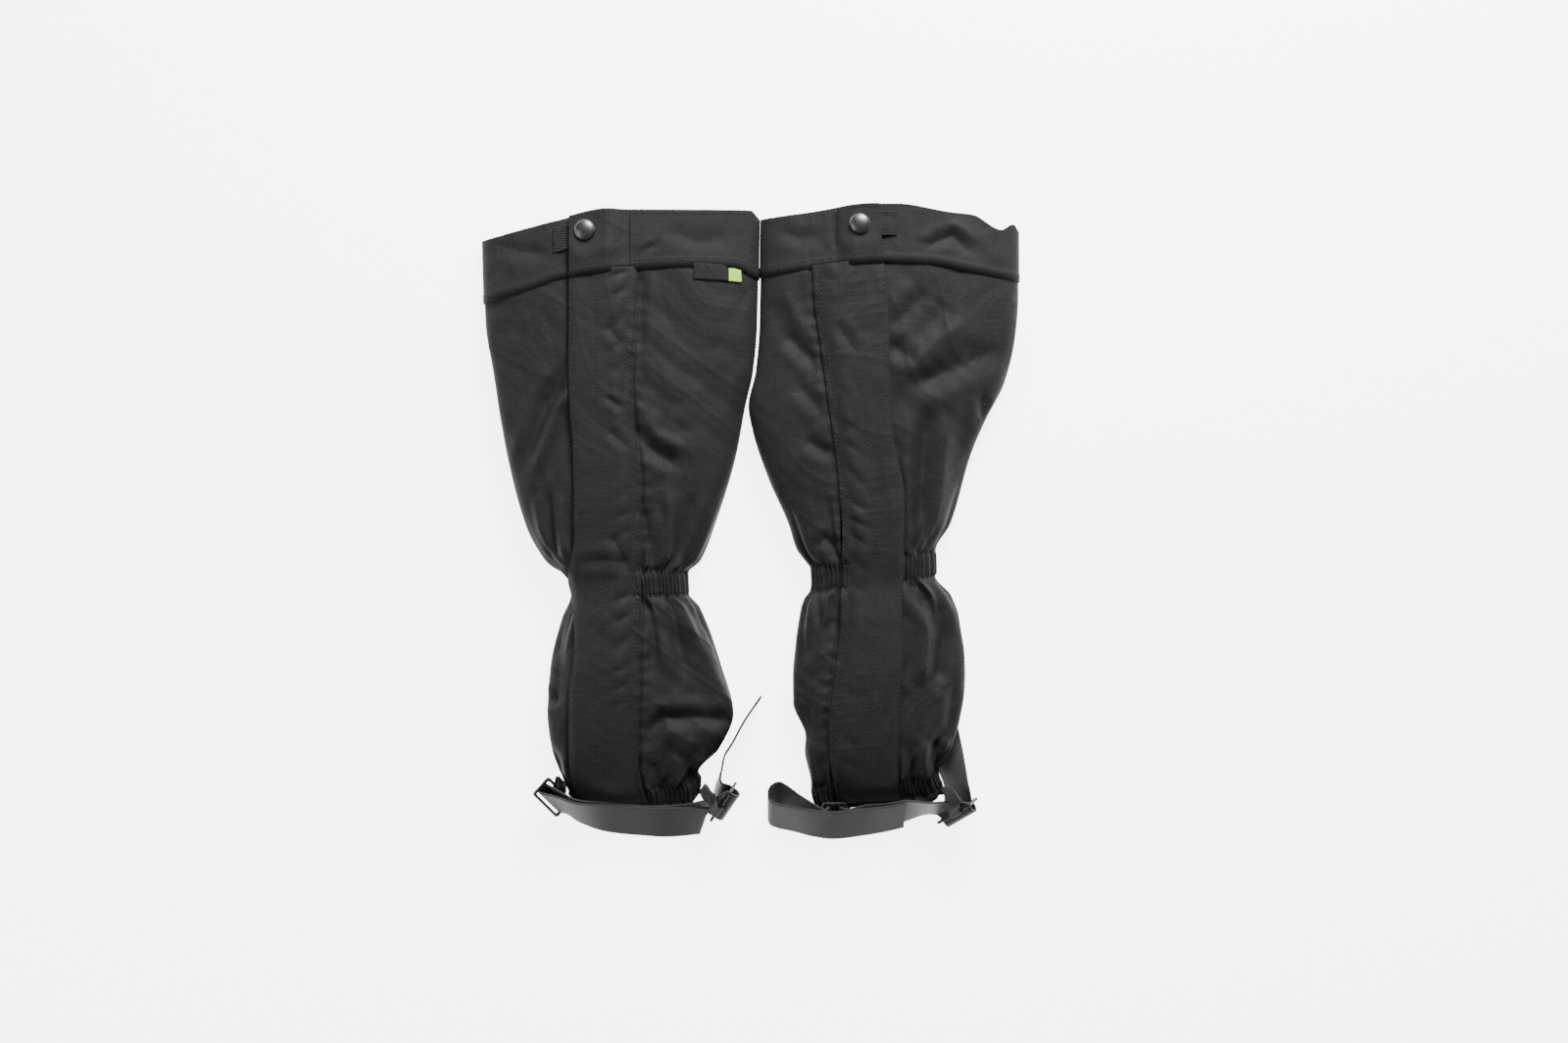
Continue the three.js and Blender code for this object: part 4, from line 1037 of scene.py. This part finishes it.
def build_left_stirrup():
    body = "left_stirrup"
    outer = Buckle((-140.7, -195.7, 12.8), (-0.503, 0.581, 0.64), (0.669, 0.731, -0.138))
    inner = Buckle((-19.25, -198.8, 15.8), (0.474, 0.723, 0.503), (-0.276, -0.42, 0.864))
    build_buckle("left_outer_slide", outer, body, "left_buckle_outer")
    build_buckle("left_inner_slide", inner, body, "left_buckle_inner")
    build_web("left_outer_webbing", outer, body, "left_web_outer", (-135, -183.6, 8))
    build_web("left_inner_webbing", inner, body, "left_web_inner", (-33.6, -189.5, 9),
              [(-32.5, -190.5, 20), (-30.5, -193, 29), (-26.5, -196.8, 32.5)], -3, 9)
    leaning, steep, rising = (0, 0.8, 0.6), (-0.05, 0.6, 0.8), (0, 0.824, 0.566)
    build_strap("left_strap", [
        ((-32.6, -212.4, 11.3), (0, 0.78, 0.62)), ((-56.7, -213.6, 9.8), (0, 0.856, 0.517)),
        ((-74.2, -213.3, 10.3), rising), ((-102.2, -210.7, 10.9), leaning), ((-121.8, -206.7, 13.2), steep),
        ((-133, -201.4, 16.6), (-0.28, 0.55, 0.78)), *outer.turn(-1, -2.9 if outer.face[2] > 0 else 2.9),
        ((-129.5, -199, 14.2), (-0.25, 0.55, 0.79)), ((-121.3, -204.6, 11.8), steep),
        ((-102.2, -209.2, 9.0), leaning), ((-74.2, -212.0, 8.5), rising),
        ((-56.7, -212.0, 7.8), (0, 0.856, 0.517)), ((-46, -210.1, 8.9), (0, 0.78, 0.62)),
        ((-36, -206, 10.9), (0, 0.62, 0.78)), ((-28, -201.6, 14.6), (0.2, 0.5, 0.84)),
        *inner.turn(1, 6.5 if inner.face[0] > 0 else -6.5), ((-23, -188, 13.6), (0.2, 0.3, 0.93)),
        *[(p, (0, 0, 1)) for p in ((-20.3, -176, 13.4), (-18.2, -165.9, 13.2), (-12.6, -156.8, 13.2),
                                   (-4.2, -141.4, 13.2), (7.7, -123.9, 13.2))],
    ], body, "left_instep_strap", -7)


def build_right_stirrup():
    body = "right_stirrup"
    inner = Buckle((60, -211.5, 11), (0, 0.813, 0.582), (-1, 0, 0))
    outer = Buckle((147, -205.1, 15.8), (0.734, 0.474, 0.487), (-0.409, -0.264, 0.874))
    build_buckle("right_inner_slide", inner, body, "right_buckle_inner")
    build_buckle("right_outer_slide", outer, body, "right_buckle_outer")
    build_web("right_inner_webbing", inner, body, "right_web_inner", (48, -205.5, 5.6), (), 2, 9)
    build_web("right_outer_webbing", outer, body, "right_web_outer", (138.6, -189, 10),
              [(140, -190.5, 20), (142, -193.5, 29.5), (145, -198.5, 33)], 3, 9)
    weave = [(inner.at(held, face), inner.along) for held, face in (
        (-PITCH - 4.6, 3.0), (-PITCH + 1.2, 2.8), (-PITCH / 2, 0.4), (-2.0, -1.9), (0, -2.5), (2.0, -1.9),
        (PITCH / 2, 0.6), (PITCH - 2.0, 3.0), (PITCH + 0.6, 3.9))]
    build_strap("right_strap", [
        ((134, -139, 2.2), (0.995, 0, 0.1)), ((137.5, -155, 3.0), (0.985, 0, 0.17)),
        ((142, -172, 7.6), (0.85, 0, 0.53)), ((146.4, -187, 11), (0.64, 0.1, 0.76)), *outer.turn(-1, 6.5),
        ((136.5, -203.4, 13.2), (0.35, 0.42, 0.84)), ((125.3, -203.7, 12.8), (0.1, 0.4, 0.91)),
        ((111.3, -205.3, 11.4), (0, 0.62, 0.78)), ((97.3, -209.2, 9.4), (0, 0.756, 0.654)),
        ((82, -210.8, 11.2), (0, 0.8, 0.6)), *weave, ((43, -208.6, 12.6), (0, 0.79, 0.61)),
        ((34, -202.8, 11.2), (0, 0.78, 0.62)), ((26, -196.8, 10), (0, 0.77, 0.64)),
        ((20.5, -194.2, 9.6), (0, 0.77, 0.64)), ((15.2, -196.4, 9.4), (0, 0.77, 0.64)),
        ((12.8, -201.4, 9.2), (0, 0.76, 0.65)), ((14.4, -206.6, 9.4), (0, 0.74, 0.67)),
        ((20, -209.2, 10), (0, 0.73, 0.68)), ((31, -211.4, 12), (0, 0.73, 0.68)),
        ((45, -213.9, 15.4), (0, 0.79, 0.61)), ((60, -215.2, 16.9), (0, 0.81, 0.59)),
        ((80, -213.2, 14.6), (0, 0.8, 0.6)), ((97.3, -211, 11.8), (0, 0.756, 0.654)),
        ((109.3, -208.2, 13.2), (0, 0.74, 0.67)),
    ], body, "right_instep_strap")


# ---- stitches ----
def stitch_row(bm, points, out, pitch=3.1, size=(1.15, 0.34, 0.24)):
    """Small threads along points in millimetres, each lying flat on the cloth."""
    steps = np.linalg.norm(np.diff(points, axis=0), axis=1)
    way = np.concatenate([[0], np.cumsum(steps)])

    def at(place):
        return np.array([np.interp(place, way, points[:, k]) for k in range(3)])
    for place in np.arange(pitch / 2, way[-1], pitch):
        heading = at(place + 1) - at(place - 1)
        up = out[min(int(np.searchsorted(way, place)), len(out) - 1)]
        along = heading / max(np.linalg.norm(heading), 1e-9)
        side = np.cross(up, along)
        side /= np.linalg.norm(side)
        axes = (along, side, np.cross(along, side))
        stitch = Matrix([Vector(axis * half) for axis, half in zip(axes, size)]).transposed().to_4x4()
        stitch.translation = Vector(at(place))
        bmesh.ops.create_icosphere(bm, subdivisions=1, radius=1, matrix=Matrix.Scale(MM, 4) @ stitch)


def row_of(surface, *places, lift=0.12):
    """Points along a surface and the directions out of it, from a line of its places."""
    here = surface(*places)
    along = np.gradient(here, axis=0)
    out = np.cross(along, np.cross((0, 0, 1.0), along))
    out /= np.maximum(np.linalg.norm(out, axis=1, keepdims=True), 1e-9)
    return here + out * lift, out


def sew(name, bm, body, blend=None):
    """Thread on the cloth's own slot."""
    finish_mesh(name, bm, body, blend=blend).data.materials[0] = material("thread")


def build_stitches(side):
    g = GAITERS[side]
    bm = bmesh.new()
    level = bands(0.01, 1.97, 260)
    for t in (1.6 / FLAP_WIDTH, 4.4 / FLAP_WIDTH, 0.56, 1 - 2.0 / FLAP_WIDTH):
        stitch_row(bm, *row_of(lambda at, v: flap_points(g, at, v, 0.9), t + 0 * level, level))
    t = bands(0.03, 0.96, 60)
    for v in CUFF_ROWS:
        stitch_row(bm, *row_of(lambda at, v: cuff_end_points(g, at, v, 1.2), t, v + 0 * t))
    sew(f"{side}_flap_stitches", bm, None, flap_blend(side))

    bm = bmesh.new()
    start, stop = (lambda v: fold_angle(g, v, 3)), (lambda v: math.pi - 0.25)
    if g["opens"] < 0:
        start, stop = (lambda v: 0.25), start
    rows = [(v, 0.0, False) for v in (*ANKLE_EDGES, HEM_TOP)]
    rows += [(v, lift, True) for v, lift in zip(CUFF_ROWS, (1.05, 0.7))]
    for v, lift, cuff in rows:
        angle = bands(start(v), stop(v), 120)
        stitch_row(bm, *row_of(lambda a: shell_points(g, a, v + 0 * a, lift, cuff), angle))
    sew(f"{side}_body_stitches", bm, f"{side}_gaiter")


# ---- the stage ----
def build_stage(height, key_power, fill):
    """A pale floor that glows, soft light from behind and one side, and a camera from above."""
    bm = bmesh.new()
    bmesh.ops.create_grid(bm, x_segments=4, y_segments=4, size=3.0)
    mesh = bpy.data.meshes.new("floor")
    bm.to_mesh(mesh)
    bm.free()
    floor = add_object("floor", mesh)
    paint = bpy.data.materials.new("pale_floor")
    paint.use_nodes = True
    shader = paint.node_tree.nodes["Principled BSDF"]
    shader.inputs["Base Color"].default_value = (0.9, 0.9, 0.9, 1)
    shader.inputs["Emission Color"].default_value = (1, 1, 1, 1)
    shader.inputs["Emission Strength"].default_value = 5.0
    shader.inputs["Roughness"].default_value = 0.9
    mesh.materials.append(paint)
    floor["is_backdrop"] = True
    world = bpy.data.worlds.new("studio")
    world.use_nodes = True
    sky = world.node_tree.nodes["Background"].inputs
    sky["Color"].default_value = (1, 1, 1, 1)
    sky["Strength"].default_value = fill
    bpy.context.scene.world = world
    for name, place, size, power in (("key", (0.35, 1.25, 0.85), 0.6, key_power),
                                     ("side", (-1.3, -0.2, 1.2), 1.2, key_power * 0.18)):
        light = bpy.data.lights.new(name, "AREA")
        light.size, light.energy = size, power
        lamp = add_object(name, light)
        lamp.location = place
        lamp.rotation_mode = "QUATERNION"
        lamp.rotation_quaternion = (-Vector(place)).to_track_quat("-Z", "Y")
    camera = bpy.data.cameras.new("camera")
    camera.lens, camera.sensor_width = 85, 36
    eye = add_object("camera", camera)
    eye.location = (0.0238, 0.0007, height)
    bpy.context.scene.camera = eye


# ---- the add-on ----
class GaiterSettings(bpy.types.PropertyGroup):
    columns: bpy.props.IntProperty(
        name="Columns", description="Quads round the shell's cloth", default=320, min=40, max=800)
    rows: bpy.props.IntProperty(
        name="Rows", description="Quads along the shell's cloth", default=230, min=40, max=800)
    cloth_wall: bpy.props.FloatProperty(
        name="Cloth Wall", description="Wall of one layer of the shell's cloth", default=CLOTH * MM,
        min=0.0002, max=0.002, precision=4, unit="LENGTH")
    cloth_colour: bpy.props.FloatVectorProperty(
        name="Cloth Colour", description="Colour of the ripstop", default=FINISHES["ripstop"][0],
        subtype="COLOR")
    strap_colour: bpy.props.FloatVectorProperty(
        name="Strap Colour", description="Colour of the instep straps", default=FINISHES["strap"][0],
        subtype="COLOR")
    tip_colour: bpy.props.FloatVectorProperty(
        name="Label Tip Colour", description="Colour of the label's bright end",
        default=FINISHES["label_lime"][0], subtype="COLOR")
    eye_height: bpy.props.FloatProperty(
        name="Eye Height", description="Height of the camera over the table", default=2.644, unit="LENGTH")
    key_power: bpy.props.FloatProperty(
        name="Key Power", description="Power of the main light in watts", default=72.0, unit="POWER")
    fill: bpy.props.FloatProperty(
        name="Fill", description="Strength of the white surroundings", default=0.3)


def operator(idname, label, doc, work):
    """An operator that does one job with the scene's gaiter settings."""
    def execute(self, context):
        work(context.scene.gaiter_settings)
        return {"FINISHED"}
    name = "GAITERS_OT_" + idname
    return type(name, (bpy.types.Operator,), {
        "__doc__": doc, "bl_idname": "gaiters." + idname, "bl_label": label, "execute": execute})


def both(build, *settings):
    """A job that builds the left and then the right, with those settings."""
    return lambda s: [build(side, *[getattr(s, name) for name in settings]) for side in GAITERS]


def build_hooks(_):
    build_hook("left", -97, -193.5, 8.0)
    build_hook("right", 86, -192, 8.6)


JOBS = [
    operator("shells", "Cloth Shells", "Builds the cloth shells",
             both(build_shell, "columns", "rows", "cloth_wall")),
    operator("cuffs", "Cuffs", "Builds the cuffs",
             lambda s: [build_cuff(side, s.columns, 44) for side in GAITERS]),
    operator("flaps", "Storm Flaps", "Builds the flaps",
             lambda s: [build_flap(side, 64, s.rows * 2) for side in GAITERS]),
    operator("tapes", "Closure Tapes", "Builds the hook and loop tapes", both(build_tapes)),
    operator("elastics", "Elastics", "Builds the ribbed elastics", both(build_elastics)),
    operator("snaps", "Snaps", "Builds the snap fasteners", both(build_snap)),
    operator("tabs", "Elastic Tabs", "Builds the snaps' elastic tabs", both(build_tab)),
    operator("label", "Side Label", "Builds the plain side label", lambda s: build_label()),
    operator("hooks", "Lace Hooks", "Builds the wire lace hooks", build_hooks),
    operator("left_stirrup", "Left Instep Strap", "Builds the left strap and its buckles",
             lambda s: build_left_stirrup()),
    operator("right_stirrup", "Right Instep Strap", "Builds the right strap and its buckles",
             lambda s: build_right_stirrup()),
    operator("stitches", "Stitches", "Sews the rows of stitches", both(build_stitches)),
    operator("stage", "Stage", "Sets the floor, the light and the camera",
             lambda s: build_stage(s.eye_height, s.key_power, s.fill)),
]


class GAITERS_PT_panel(bpy.types.Panel):
    bl_label = "Gaiters"
    bl_space_type = "VIEW_3D"
    bl_region_type = "UI"
    bl_category = "Gaiters"

    def draw(self, context):
        for job in JOBS:
            self.layout.operator(job.bl_idname)


CLASSES = (GaiterSettings, *JOBS, GAITERS_PT_panel)


def register():
    for cls in CLASSES:
        bpy.utils.register_class(cls)
    bpy.types.Scene.gaiter_settings = bpy.props.PointerProperty(type=GaiterSettings)


def unregister():
    del bpy.types.Scene.gaiter_settings
    for cls in reversed(CLASSES):
        bpy.utils.unregister_class(cls)


def main():
    register()
    for job in JOBS:
        name = job.bl_idname.split(".")[1]
        if getattr(bpy.ops.gaiters, name)() != {"FINISHED"}:
            raise RuntimeError(f"{job.bl_label} was not built")
    lists = lambda box: [list(corner) for corner in box]
    {"cad": lists(CAD_BOX), "visual": lists(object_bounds())}


if __name__ == "__main__":
    main()
